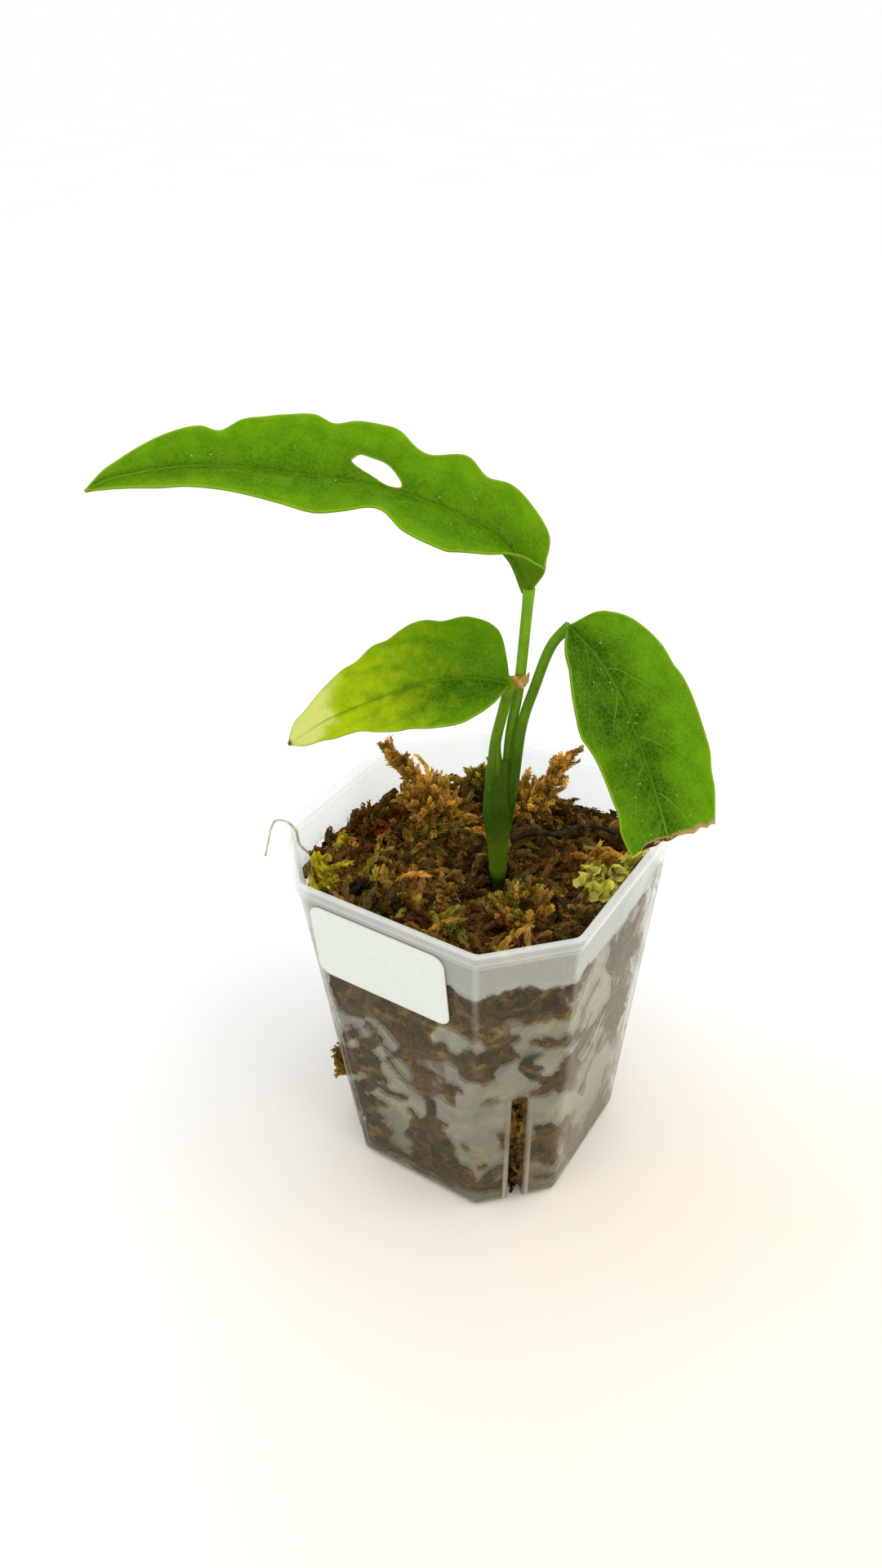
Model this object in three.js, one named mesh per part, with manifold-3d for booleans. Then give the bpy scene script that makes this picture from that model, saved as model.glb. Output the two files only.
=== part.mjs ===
// Potted young monstera: a clear square pot with cut corners, filled with sphagnum moss, and a short
// stem that carries three leaves on thin stalks. Millimetres, +Z up. The origin is the middle of the
// pot's underside, and the labelled wall faces -Y.

import * as THREE from "three";
import Module from "manifold-3d";
import { mergeVertices } from "three/addons/utils/BufferGeometryUtils.js";

const wasm = await Module();
wasm.setup();

// Driving dimensions

const CLEAR = 0.3; // gap between pieces that touch

const POT = {
  baseHalf: 31.5, // half the width across flats, at the base
  wallTopHalf: 39, // the same where the wall meets the lip
  height: 95,
  baseCut: 14.5, // length that each cut corner takes off a side, at the base
  topCut: 16,
  cornerRadius: 3,
  wall: 0.9,
  floor: 1.2,
  lip: 1, // how far the lip stands out of the wall
  lipHeight: 2.4,
  stepHeight: 1.4, // faint step under the lip
  footRadius: 2,
};

const SLIT = { width: 4.2, top: 44, reach: 6, frame: 1.2, proud: 0.45 };

const LABEL = { width: 35.6, height: 21.4, corner: 3, thick: 0.35, gap: 0.15, x: -2.7, up: 80 };

const MOSS = {
  level: 83.5,
  lumps: 4.5, // height of the lumps all over the top
  relief: 2.4, // how far the side falls back from the wall between the patches that touch it
  patch: 8.5,
  touching: [0.42, 0.58], // the share of the random value at which a patch starts to touch, and touches
  around: 40,
  levels: 8,
  rings: 5,
  sprigs: 48,
};

// Mounds and hollows of the moss: place x and y, radius, height
const MOUNDS = [
  [-28, 1, 9, 2.5],
  [-17, 11, 9, 5],
  [-12, 25, 8, 4],
  [0, 24, 9, 6],
  [21, 25, 9, 3],
  [21, -12, 7, 2.5],
  [31, 8, 7, 1.5],
  [-8, -16, 5, -3.5],
  [7, -2, 5, -7.5],
];

const STEM = { x: 6.8, y: -1.6 }; // where it comes out of its root crown

// Sections of the stem: height, middle x and y, half width to the side, half width to the front
const STEM_SECTIONS = [
  [68, 6.8, -1.6, 1.6, 1.6],
  [76.6, 6.6, -1.4, 1.75, 1.75],
  [83.4, 5.6, -0.3, 1.85, 1.85],
  [84.4, 5.5, -0.2, 2.15, 2.1],
  [85.6, 5.5, -0.2, 1.95, 1.9],
  [92, 5.5, -0.3, 2.5, 2.15],
  [97, 5.6, -0.3, 3.15, 2.6],
  [102, 5.7, -0.3, 3.75, 2.9],
];

// Leaf stalks: points along the middle line, thickness at the foot and at the leaf
const STALKS = {
  petiole_left: {
    path: [
      [4.4, -2.6, 102.3], [4.2, -1.1, 108.9], [5, -0.3, 119.7], [7.5, -1.3, 128.9], [10.1, -3.2, 136.6],
    ],
    foot: 3,
    neck: 2.3,
  },
  petiole_top: {
    path: [
      [5.5, 1.5, 102.3], [6.6, 2, 112], [7.6, 1.9, 122],
      [9.6, 1, 134.2], [11.6, 0.1, 150], [12.3, 0.6, 157.2],
    ],
    foot: 2.4,
    neck: 2.3,
  },
  petiole_right: {
    path: [
      [8.3, 0.4, 102.3], [9.3, 0.5, 110], [10.9, 1.3, 125.7],
      [13, 2.3, 134.1], [16.5, 3.6, 145.3], [19.3, 4.8, 149.4],
    ],
    foot: 2.5,
    neck: 2.2,
  },
};

// The thin wing of sheath beside the left stalk
const WING = { bottom: 103, top: 121, reach: 4.2, thick: 0.7 };

// The way the blades face: an azimuth clockwise from -Y, in degrees, and an elevation
const facing = (azimuth, elevation) => {
  const turn = THREE.MathUtils.degToRad(azimuth);
  const rise = THREE.MathUtils.degToRad(elevation);
  return new THREE.Vector3(Math.sin(turn) * Math.cos(rise), -Math.cos(turn) * Math.cos(rise), Math.sin(rise));
};

// Blades. The spine is the midrib from the stalk to the tip. Each half has its width, and the angle at
// which it is folded up, at shares of the spine's length. "left" is the half on the spine's left.
const BLADES = {
  leaf_top: {
    spine: [
      [12.3, 0.6, 157.6], [7.5, 2, 164], [-1.5, 1.5, 169], [-17.5, -3.5, 174.5],
      [-35, -11.5, 177.5], [-52.5, -22, 179.5], [-65.5, -32, 178], [-70, -36.5, 176],
    ],
    faces: [facing(43.8, 58), facing(37.8, 58), facing(33.8, 56), facing(29.8, 55)],
    curl: -12,
    rib: 1,
    stations: 32,
    left: {
      shares: [0, 0.02, 0.04, 0.06, 0.1, 0.14, 0.2, 0.3, 0.38, 0.44, 0.5, 0.58, 0.68, 0.78, 0.88, 1],
      widths: [1.5, 5.2, 7, 8, 10, 11.6, 12.9, 11.5, 6.8, 9.3, 11.2, 9.2, 7.2, 5.9, 4.6, 0],
      foldShares: [0, 0.02, 0.04, 0.06, 0.08, 0.1, 0.14, 0.2, 0.5, 1],
      folds: [125, 130, 102, 81, 60, 46, 35, 28, 22, 16],
    },
    right: {
      shares: [
        0, 0.03, 0.07, 0.13, 0.2, 0.25, 0.31, 0.36, 0.41, 0.47,
        0.53, 0.59, 0.66, 0.72, 0.77, 0.82, 0.88, 0.94, 1,
      ],
      widths: [
        0.4, 6, 8.4, 10.5, 10.2, 12, 9.6, 11.2, 13.2, 12,
        12.4, 12.2, 10.5, 7.9, 8.4, 7.2, 5.4, 2.7, 0,
      ],
      foldShares: [0, 0.1, 0.3, 0.7, 1],
      folds: [35, 25, 24, 20, 15],
    },
    // outline of the hole: share of the length, share of the right half's width
    hole: [
      [0.345, 0.12], [0.35, 0.22], [0.368, 0.33], [0.39, 0.4], [0.415, 0.43], [0.44, 0.45],
      [0.453, 0.35], [0.45, 0.3], [0.435, 0.23], [0.408, 0.15], [0.378, 0.07], [0.358, 0.07],
    ],
  },
  leaf_left: {
    spine: [
      [10, -3, 137], [5, -7, 139], [-0.5, -12, 139.5], [-6.5, -17.5, 138.5],
      [-13, -23.5, 136], [-19, -28.5, 133], [-25.5, -34, 128],
    ],
    faces: [facing(41.8, 60), facing(33.8, 57), facing(25.8, 52)],
    curl: -8,
    rib: 0.8,
    stations: 22,
    left: {
      shares: [0, 0.03, 0.08, 0.16, 0.26, 0.38, 0.5, 0.62, 0.74, 0.86, 0.94, 1],
      widths: [0.4, 3.2, 6.7, 9.6, 11.4, 11.1, 9.2, 6.4, 5.1, 3.7, 2.2, 0],
      foldShares: [0, 0.15, 1],
      folds: [35, 16, 8],
    },
    right: {
      shares: [0, 0.03, 0.08, 0.16, 0.26, 0.38, 0.5, 0.62, 0.74, 0.86, 0.94, 1],
      widths: [0.4, 5.3, 11.1, 13.7, 13.4, 13.3, 11.1, 9.2, 7.1, 4.3, 2.8, 0],
      foldShares: [0, 0.15, 1],
      folds: [30, 14, 8],
    },
  },
  leaf_right: {
    spine: [
      [19.5, 4.5, 149.5], [26.5, 4, 144.5], [33, 2.5, 137.5],
      [39, 0.5, 128.5], [43.5, -1, 120], [48, -2.5, 110.5],
    ],
    faces: [facing(53.8, 50), facing(47.8, 44), facing(43.8, 40)],
    curl: -8,
    rib: 0.8,
    stations: 22,
    left: {
      shares: [0, 0.03, 0.08, 0.16, 0.26, 0.38, 0.5, 0.62, 0.74, 0.86, 1],
      widths: [0.4, 5.7, 8.6, 11.4, 12.7, 13.4, 14.1, 13.8, 13.4, 12.3, 9.9],
      foldShares: [0, 0.2, 1],
      folds: [30, 14, 8],
    },
    right: {
      shares: [0, 0.03, 0.08, 0.16, 0.26, 0.38, 0.5, 0.62, 0.74, 0.86, 1],
      widths: [0.4, 4.9, 7.8, 8.6, 10.3, 11.9, 11, 10, 9.5, 9.6, 8.4],
      foldShares: [0, 0.2, 1],
      folds: [50, 18, 8],
    },
  },
};

const BLADE_THICKNESS = 0.6;
const BLADE_COLUMNS = [-1, -0.66, -0.33, -0.08, 0, 0.08, 0.33, 0.66, 1]; // negative on the left half

// Roots: points from the crown under the stem, thickness at the crown. The first one reaches the wall.
const CROWN = { z: 65.5, radius: 2.2 };
const ROOTS = [
  {
    path: [
      [6.8, -1.6, 65], [12, -10, 61], [20, -19, 57], [26, -26.2, 54.5], [28.8, -23.9, 50],
      [32.1, -20, 47.4], [33.6, -14.5, 48.4], [33.6, -7.5, 50.2], [33.9, -1.5, 55],
    ],
    thick: 1.5,
  },
  { path: [[6.8, -1.6, 65], [9, 5, 58], [16, 13, 48], [18, 20, 36]], thick: 1.7 },
  { path: [[6.8, -1.6, 65], [1, 4, 57], [-8, 12, 50], [-15, 14, 38]], thick: 1.6 },
  { path: [[6.8, -1.6, 65], [2, -8, 58], [-7, -14, 52], [-18, -16, 44]], thick: 1.6 },
  { path: [[6.8, -1.6, 65], [7.5, -3, 52], [4, -6, 38], [5, -2, 24]], thick: 1.8 },
];

const TWIG = {
  path: [[3.7, 8.8], [8, 13.7], [13.3, 15.6], [15.8, 19.8], [19, 22.8], [24.7, 23.9]],
  thick: 1.5,
  lift: 0.5,
};

const STRAND = {
  path: [
    [-34.6, -19.4, 84.5], [-37, -21.6, 89], [-37.2, -22.2, 93.5], [-38.8, -23.3, 96.2],
    [-41.3, -24.2, 96.2], [-42, -25.2, 94.6], [-41.8, -27, 92], [-41.1, -29.5, 89.2],
  ],
  thick: 0.7,
};

// Tufts on the moss, each of one colour: root x and y, reach and thickness of the main sprig,
// radius of the tuft, number of side sprigs
const TUFTS = [
  {
    name: "moss_gold_back_left", colour: 0xa87420,
    at: [-19, 9], reach: [-13.5, 1.5, 15.5], thick: 5.4, radius: 6.5, sprigs: 4,
  },
  {
    name: "moss_amber_back_right", colour: 0x9a5f1c,
    at: [1, 24], reach: [9, 8, 10], thick: 4.8, radius: 7, sprigs: 4,
  },
  {
    name: "moss_olive_back", colour: 0xa9a35a,
    at: [-14, 24.5], reach: [1, -1, 5], thick: 3.8, radius: 5.8, sprigs: 3,
  },
  {
    name: "moss_rust_left", colour: 0x6e2f12,
    at: [-28, -2], reach: [4, 2, 5], thick: 4.2, radius: 6.5, sprigs: 4,
  },
  {
    name: "moss_gold_front", colour: 0x8f6a20,
    at: [20, -14], reach: [-3, 2, 5], thick: 4.4, radius: 7.5, sprigs: 5,
  },
  {
    name: "moss_olive_right", colour: 0xa6a04c,
    at: [31, 6], reach: [-3, -2, 4], thick: 3.8, radius: 5.6, sprigs: 4,
  },
  {
    name: "moss_lime_left", colour: 0x9a9a22,
    at: [-31.5, -23.5], reach: [2, 3, 4.5], thick: 3.8, radius: 5.4, sprigs: 4,
  },
];

// The golden tuft that pokes out of the left cut corner's slit
const SLIT_TUFT = { corner: 2, z: 26, from: 32, to: 40.5, thick: 3.6 };

// The torn scrap of dry sheath curled round the top leaf's stalk
const SCRAP = {
  x: 9.95,
  y: 0.8,
  z: 136.7,
  radius: 1.85,
  half: 1.6, // half its height
  spread: 115, // degrees that it goes round to each side
  flare: 0.8,
  thick: 0.6,
  parts: 8,
};

const VIEW = THREE.MathUtils.degToRad(33.8); // the side that the leaves turn to, clockwise from -Y

// Numbers and random draws

const { lerp, smoothstep, degToRad } = THREE.MathUtils;
const vector = (p) => new THREE.Vector3(...p);

function drawer(seed) {
  let state = seed;
  return (low, high) => {
    state = (state * 1664525 + 1013904223) % 4294967296;
    return low + ((high - low) * state) / 4294967296;
  };
}

// A smooth random value from 0 to 1 at a point, with a new value each unit
function noise(x, y, z) {
  const [i, j, k] = [Math.floor(x), Math.floor(y), Math.floor(z)];
  const ease = (a) => a * a * (3 - 2 * a);
  const [u, v, w] = [ease(x - i), ease(y - j), ease(z - k)];
  const at = (a, b, c) => {
    const value = Math.sin((i + a) * 127.1 + (j + b) * 311.7 + (k + c) * 74.7) * 43758.5453;
    return value - Math.floor(value);
  };
  const row = (b, c) => lerp(at(0, b, c), at(1, b, c), u);
  return lerp(lerp(row(0, 0), row(1, 0), v), lerp(row(0, 1), row(1, 1), v), w);
}

// Value of a smooth curve through the given values at the given shares
function curveAt(shares, values, share) {
  const last = shares.length - 1;
  let k = 0;
  while (k < last - 1 && share >= shares[k + 1]) k++;
  const slope = (i) => {
    const [a, b] = [Math.max(i - 1, 0), Math.min(i + 1, last)];
    return (values[b] - values[a]) / (shares[b] - shares[a]);
  };
  const step = shares[k + 1] - shares[k];
  const s = (share - shares[k]) / step;
  return (
    (2 * s ** 3 - 3 * s ** 2 + 1) * values[k] +
    (s ** 3 - 2 * s ** 2 + s) * step * slope(k) +
    (3 * s ** 2 - 2 * s ** 3) * values[k + 1] +
    (s ** 3 - s ** 2) * step * slope(k + 1)
  );
}

const vectorAt = (shares, points, share) =>
  vector([0, 1, 2].map((axis) => curveAt(shares, points.map((p) => p[axis]), share)));

// Closed bodies

function geometryOf(points, faces) {
  const geometry = new THREE.BufferGeometry().setFromPoints(points);
  geometry.setIndex(faces.flat());
  return geometry;
}

function solidOf(geometry) {
  const bare = geometry.clone();
  bare.deleteAttribute("normal");
  bare.deleteAttribute("uv");
  const merged = mergeVertices(bare, 1e-4);
  return new wasm.Manifold(
    new wasm.Mesh({
      numProp: 3,
      vertProperties: merged.attributes.position.array,
      triVerts: new Uint32Array(merged.index.array),
    }),
  );
}

// The largest closed surface of a solid, as a geometry: loose bits and bubbles are dropped
function geometryFrom(solid) {
  const { vertProperties, triVerts, numVert } = solid.getMesh();
  const owner = Array.from({ length: numVert }, (_, i) => i);
  const find = (i) => (owner[i] === i ? i : (owner[i] = find(owner[i])));
  const triangles = [];
  for (let i = 0; i < triVerts.length; i += 3) triangles.push(triVerts.slice(i, i + 3));
  for (const [a, b, c] of triangles) {
    owner[find(b)] = find(a);
    owner[find(c)] = find(a);
  }
  const corner = (i) => new THREE.Vector3().fromArray(vertProperties, 3 * i);
  const volumes = new Map();
  for (const [a, b, c] of triangles) {
    const volume = corner(a).dot(corner(b).cross(corner(c))) / 6;
    volumes.set(find(a), (volumes.get(find(a)) ?? 0) + volume);
  }
  const [largest] = [...volumes].reduce((x, y) => (y[1] > x[1] ? y : x));
  const geometry = new THREE.BufferGeometry();
  geometry.setAttribute("position", new THREE.BufferAttribute(vertProperties, 3));
  geometry.setIndex(triangles.filter(([a]) => find(a) === largest).flatMap((t) => [...t]));
  return geometry;
}

function middleOf(points) {
  const sum = points.reduce((total, p) => total.add(p), new THREE.Vector3());
  return sum.divideScalar(points.length);
}

// A body through rings of points, each counterclockwise about the way that the rings go
function loft(rings) {
  const count = rings[0].length;
  const points = [...rings.flat(), middleOf(rings[0]), middleOf(rings.at(-1))];
  const start = points.length - 2;
  const top = (rings.length - 1) * count;
  const faces = [];
  for (let j = 0; j < count; j++) {
    const k = (j + 1) % count;
    for (let low = 0; low < top; low += count) {
      faces.push([low + j, low + k, low + count + k], [low + j, low + count + k, low + count + j]);
    }
    faces.push([start, k, j], [start + 1, top + j, top + k]);
  }
  return geometryOf(points, faces);
}

// A round bar along a curve, with a radius that depends on the share of the way
function bar(curve, radiusAt, sides, steps) {
  const { normals, binormals } = curve.computeFrenetFrames(steps, false);
  const rings = normals.map((normal, i) => {
    const middle = curve.getPointAt(i / steps);
    return Array.from({ length: sides }, (_, j) => {
      const angle = (2 * Math.PI * j) / sides;
      const out = normal.clone().multiplyScalar(Math.cos(angle));
      out.addScaledVector(binormals[i], Math.sin(angle));
      return middle.clone().addScaledVector(out, radiusAt(i / steps));
    });
  });
  return loft(rings);
}

// A sheet through a grid of points, thickened along its normals: half the thickness above,
// and half plus what "under" gives for the row and column below
function sheet(grid, thick, under = () => 0) {
  const [rows, columns] = [grid.length, grid[0].length];
  const index = (i, j) => i * columns + j;
  const faces = [];
  for (let i = 0; i + 1 < rows; i++) {
    for (let j = 0; j + 1 < columns; j++) {
      faces.push([index(i, j), index(i, j + 1), index(i + 1, j + 1)]);
      faces.push([index(i, j), index(i + 1, j + 1), index(i + 1, j)]);
    }
  }
  const middle = geometryOf(grid.flat(), faces);
  middle.computeVertexNormals();
  const { normal } = middle.attributes;
  const normals = grid.flat().map((_, i) => new THREE.Vector3().fromBufferAttribute(normal, i));
  const above = grid.flat().map((p, i) => p.clone().addScaledVector(normals[i], thick / 2));
  const below = grid.flat().map((p, i) => {
    const depth = thick / 2 + under(Math.floor(i / columns), i % columns);
    return p.clone().addScaledVector(normals[i], -depth);
  });
  const count = above.length;
  const all = [...faces, ...faces.map(([a, b, c]) => [a + count, c + count, b + count])];
  const rim = [];
  for (let j = 0; j + 1 < columns; j++) rim.push([index(0, j), index(0, j + 1)]);
  for (let i = 0; i + 1 < rows; i++) rim.push([index(i, columns - 1), index(i + 1, columns - 1)]);
  for (let j = columns - 1; j > 0; j--) rim.push([index(rows - 1, j), index(rows - 1, j - 1)]);
  for (let i = rows - 1; i > 0; i--) rim.push([index(i, 0), index(i - 1, 0)]);
  for (const [a, b] of rim) all.push([a, a + count, b + count], [a, b + count, b]);
  return geometryOf([...above, ...below], all);
}

// The pot

const slopeTop = POT.height - POT.lipHeight;
const halfAt = (z) => lerp(POT.baseHalf, POT.wallTopHalf, z / slopeTop);
const cutAt = (z) => lerp(POT.baseCut, POT.topCut, z / POT.height);
const cornerAt = (z) => (halfAt(z) - cutAt(z) / 2) * Math.SQRT2;

// The pot's outline at a height, moved out by a distance: three points at each rounded corner
function outline(z, out) {
  const half = halfAt(z) + out;
  const side = half - cutAt(z) - (2 - Math.SQRT2) * out;
  const corners = [];
  for (let quarter = 0; quarter < 4; quarter++) {
    const turn = new THREE.Matrix4().makeRotationZ((quarter * Math.PI) / 2);
    corners.push(vector([half, -side, z]).applyMatrix4(turn), vector([half, side, z]).applyMatrix4(turn));
  }
  const tangent = POT.cornerRadius * Math.tan(Math.PI / 8);
  const sagitta = POT.cornerRadius * (1 / Math.cos(Math.PI / 8) - 1);
  return corners.flatMap((corner, i) => {
    const back = corners.at(i - 1).clone().sub(corner).normalize();
    const on = corners[(i + 1) % 8].clone().sub(corner).normalize();
    const inward = back.clone().add(on).normalize();
    return [
      corner.clone().addScaledVector(back, tangent),
      corner.clone().addScaledVector(inward, sagitta),
      corner.clone().addScaledVector(on, tangent),
    ];
  });
}

// The frame of a leaning wall: X along it, Y up its slope, Z out of it, from its foot
function wallFrame(angle, distanceAt) {
  const out = vector([Math.cos(angle), Math.sin(angle), 0]);
  const lean = Math.atan((distanceAt(slopeTop) - distanceAt(0)) / slopeTop);
  const up = out.clone().multiplyScalar(Math.sin(lean)).setZ(Math.cos(lean));
  const face = out.clone().multiplyScalar(Math.cos(lean)).setZ(-Math.sin(lean));
  const along = up.clone().cross(face);
  return new THREE.Matrix4().makeBasis(along, up, face).setPosition(out.multiplyScalar(distanceAt(0)));
}

const cornerFrame = (corner) => wallFrame(Math.PI / 4 + (corner * Math.PI) / 2, cornerAt);

// A plate with rounded top corners, from y = low to high
function archPlate(width, low, high, from, to) {
  const [half, radius] = [width / 2, width / 3];
  const shape = new THREE.Shape();
  shape.moveTo(-half, low);
  shape.lineTo(half, low);
  shape.lineTo(half, high - radius);
  shape.absarc(half - radius, high - radius, radius, 0, Math.PI / 2);
  shape.lineTo(radius - half, high);
  shape.absarc(radius - half, high - radius, radius, Math.PI / 2, Math.PI);
  const plate = new THREE.ExtrudeGeometry(shape, { depth: to - from, bevelEnabled: false, curveSegments: 2 });
  return plate.translate(0, 0, from);
}

function makePot() {
  const { height, lip, lipHeight, stepHeight, wall, floor, footRadius } = POT;
  const edge = 0.4;
  const profile = [
    [0, -footRadius],
    [footRadius * 0.3, -footRadius * 0.3],
    [footRadius, 0],
    [height - lipHeight - stepHeight, 0],
    [height - lipHeight - stepHeight + edge, 0.3],
    [height - lipHeight, 0.3],
    [height - lipHeight + edge, lip - 0.2],
    [height - edge, lip - 0.2],
    [height, lip - 0.2 - edge],
    [height, edge - wall],
    [height - edge, -wall],
    [floor + footRadius, -wall],
    [floor + footRadius * 0.3, -wall - footRadius * 0.3],
    [floor, -wall - footRadius],
  ];
  let solid = solidOf(loft(profile.map(([z, out]) => outline(z, out))));
  for (let corner = 0; corner < 4; corner++) {
    const frame = cornerFrame(corner);
    const width = SLIT.width + 2 * SLIT.frame;
    const rim = archPlate(width, footRadius * 1.2, SLIT.top + SLIT.frame, -wall / 2, SLIT.proud);
    solid = solid.add(solidOf(rim.applyMatrix4(frame)));
  }
  for (let corner = 0; corner < 4; corner++) {
    const gap = archPlate(SLIT.width, -POT.footRadius, SLIT.top, -SLIT.reach, SLIT.reach);
    solid = solid.subtract(solidOf(gap.applyMatrix4(cornerFrame(corner))));
  }
  return solid;
}

function makeLabel() {
  const { width, height, corner, thick, gap, x, up } = LABEL;
  const [right, top] = [width / 2 - corner, height / 2 - corner];
  const shape = new THREE.Shape();
  shape.absarc(right, top, corner, 0, Math.PI / 2);
  shape.absarc(-right, top, corner, Math.PI / 2, Math.PI);
  shape.absarc(-right, -top, corner, Math.PI, 1.5 * Math.PI);
  shape.absarc(right, -top, corner, 1.5 * Math.PI, 2 * Math.PI);
  const plate = new THREE.ExtrudeGeometry(shape, { depth: thick, bevelEnabled: false, curveSegments: 4 });
  return solidOf(plate.translate(x, up, gap).applyMatrix4(wallFrame(-Math.PI / 2, halfAt)));
}

// The moss

// How far it is from the pot's middle to its wall in a direction, less an inset
function reachAt(angle, z, inset) {
  const [across, up] = [Math.abs(Math.cos(angle)), Math.abs(Math.sin(angle))];
  const flat = (halfAt(z) - inset) / Math.max(across, up);
  const corner = ((cornerAt(z) - inset) * Math.SQRT2) / (across + up);
  return Math.min(flat, corner);
}

// 1 where the moss presses on the wall, 0 in the voids between
function contact(x, y, z) {
  const s = MOSS.patch;
  const coarse = noise(x / s + 7, y / s + 3, z / s);
  const fine = noise(x / (s * 0.45), y / (s * 0.45), z / (s * 0.45) + 11);
  return smoothstep(coarse * 0.7 + fine * 0.3, ...MOSS.touching);
}

function mossHeight(x, y) {
  let height = MOSS.level + MOSS.lumps * (noise(x / 6 + 21, y / 6, 1) - 0.5);
  for (const [mx, my, radius, rise] of MOUNDS) {
    height += rise * Math.exp(-((x - mx) ** 2 + (y - my) ** 2) / radius ** 2);
  }
  return height;
}

function makeMossCore(lift = 0) {
  const { around, levels, rings, relief } = MOSS;
  const bottom = POT.floor + CLEAR;
  const angles = Array.from({ length: around }, (_, j) => (2 * Math.PI * j) / around);
  const wallPoint = (angle, z, extra) => {
    const outer = reachAt(angle, z, POT.wall + CLEAR);
    const [x, y] = [Math.cos(angle) * outer, Math.sin(angle) * outer];
    const inset = POT.wall + CLEAR + relief * (1 - contact(x, y, z)) + extra;
    const reach = reachAt(angle, z, inset);
    return vector([Math.cos(angle) * reach, Math.sin(angle) * reach, z]);
  };
  const edgeHeight = angles.map((angle) => {
    const reach = reachAt(angle, MOSS.level, POT.wall + CLEAR);
    return mossHeight(Math.cos(angle) * reach, Math.sin(angle) * reach);
  });
  const sides = [angles.map((angle) => wallPoint(angle, bottom, POT.footRadius))];
  for (let level = 0; level <= levels; level++) {
    const heightAt = (j) => lerp(bottom + POT.footRadius, edgeHeight[j] - 2, level / levels);
    sides.push(angles.map((angle, j) => wallPoint(angle, heightAt(j), 0)));
  }
  const rim = sides.at(-1);
  for (let ring = 1; ring <= rings; ring++) {
    const share = 1 - ring / (rings + 0.6);
    const inner = rim.map((p) => {
      const [x, y] = [lerp(STEM.x, p.x, share ** 0.9), lerp(STEM.y, p.y, share ** 0.9)];
      return vector([x, y, mossHeight(x, y)]);
    });
    sides.push(inner);
  }
  return solidOf(loft(sides).translate(0, 0, lift));
}

// The space inside the walls, carried on above the rim
function makeInside() {
  const bottom = POT.floor + CLEAR;
  const top = POT.height * 1.4;
  const rings = [
    outline(bottom, -POT.wall - CLEAR - POT.footRadius),
    outline(bottom + POT.footRadius, -POT.wall - CLEAR),
    outline(top, -POT.wall - CLEAR),
  ];
  return solidOf(loft(rings));
}

// One sprig of moss: a tapering strand whose rings are thick and thin by turns, so that it bristles
function sprig(root, tip, thick, draw) {
  const length = root.distanceTo(tip);
  const bend = vector([draw(-1, 1), draw(-1, 1), draw(0, 1)]).multiplyScalar(length * 0.25);
  const curve = new THREE.QuadraticBezierCurve3(root, root.clone().lerp(tip, 0.5).add(bend), tip);
  const steps = Math.max(4, 2 * Math.round(length / 4));
  const { tangents, normals } = curve.computeFrenetFrames(steps, false);
  const rings = normals.map((normal, i) => {
    const share = i / steps;
    const radius = (thick / 2) * (1 - 0.55 * share) * (i % 2 ? draw(1.1, 1.5) : draw(0.5, 0.75));
    const slant = vector([draw(-1, 1), draw(-1, 1), draw(-1, 1)]).multiplyScalar(thick * 0.12);
    return [0, 1, 2].map((j) => {
      const angle = (2 * Math.PI * j) / 3 - i * 0.9;
      const out = normal.clone().applyAxisAngle(tangents[i], angle).multiplyScalar(radius);
      return curve.getPointAt(share).add(out).addScaledVector(slant, j - 1);
    });
  });
  return solidOf(loft(rings));
}

// An egg-shaped space along a tuft's main sprig, which holds the whole tuft
function tuftSpace(tuft, grow) {
  const root = vector([...tuft.at, mossHeight(...tuft.at)]);
  const reach = vector(tuft.reach);
  const half = reach.length() / 2;
  const egg = new THREE.IcosahedronGeometry(1, 1);
  egg.scale(tuft.radius + grow, tuft.radius + grow, half + tuft.radius * 0.6 + grow);
  const lean = new THREE.Quaternion().setFromUnitVectors(vector([0, 0, 1]), reach.clone().normalize());
  egg.applyQuaternion(lean);
  const middle = root.addScaledVector(reach, 0.5);
  return solidOf(egg.translate(middle.x, middle.y, middle.z));
}

function makeTuft(tuft, seed) {
  const draw = drawer(seed);
  const root = vector([...tuft.at, mossHeight(...tuft.at)]);
  const reach = vector(tuft.reach);
  const mound = new THREE.IcosahedronGeometry(1, 0).scale(tuft.radius * 0.75, tuft.radius * 0.75, 1.5);
  const parts = [solidOf(mound.translate(root.x, root.y, root.z))];
  parts.push(sprig(root.clone().setZ(root.z - 1), root.clone().add(reach), tuft.thick, draw));
  for (let i = 0; i < tuft.sprigs; i++) {
    const angle = (2 * Math.PI * (i + draw(0, 0.6))) / tuft.sprigs;
    const from = root.clone().addScaledVector(reach, draw(0, 0.5));
    const out = vector([Math.cos(angle), Math.sin(angle), draw(0.2, 0.8)]);
    const tip = from.clone().addScaledVector(out, tuft.radius * draw(0.85, 1.15));
    parts.push(sprig(from, tip, tuft.thick * 0.85, draw));
  }
  return wasm.Manifold.union(parts).intersect(tuftSpace(tuft, 0));
}

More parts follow.
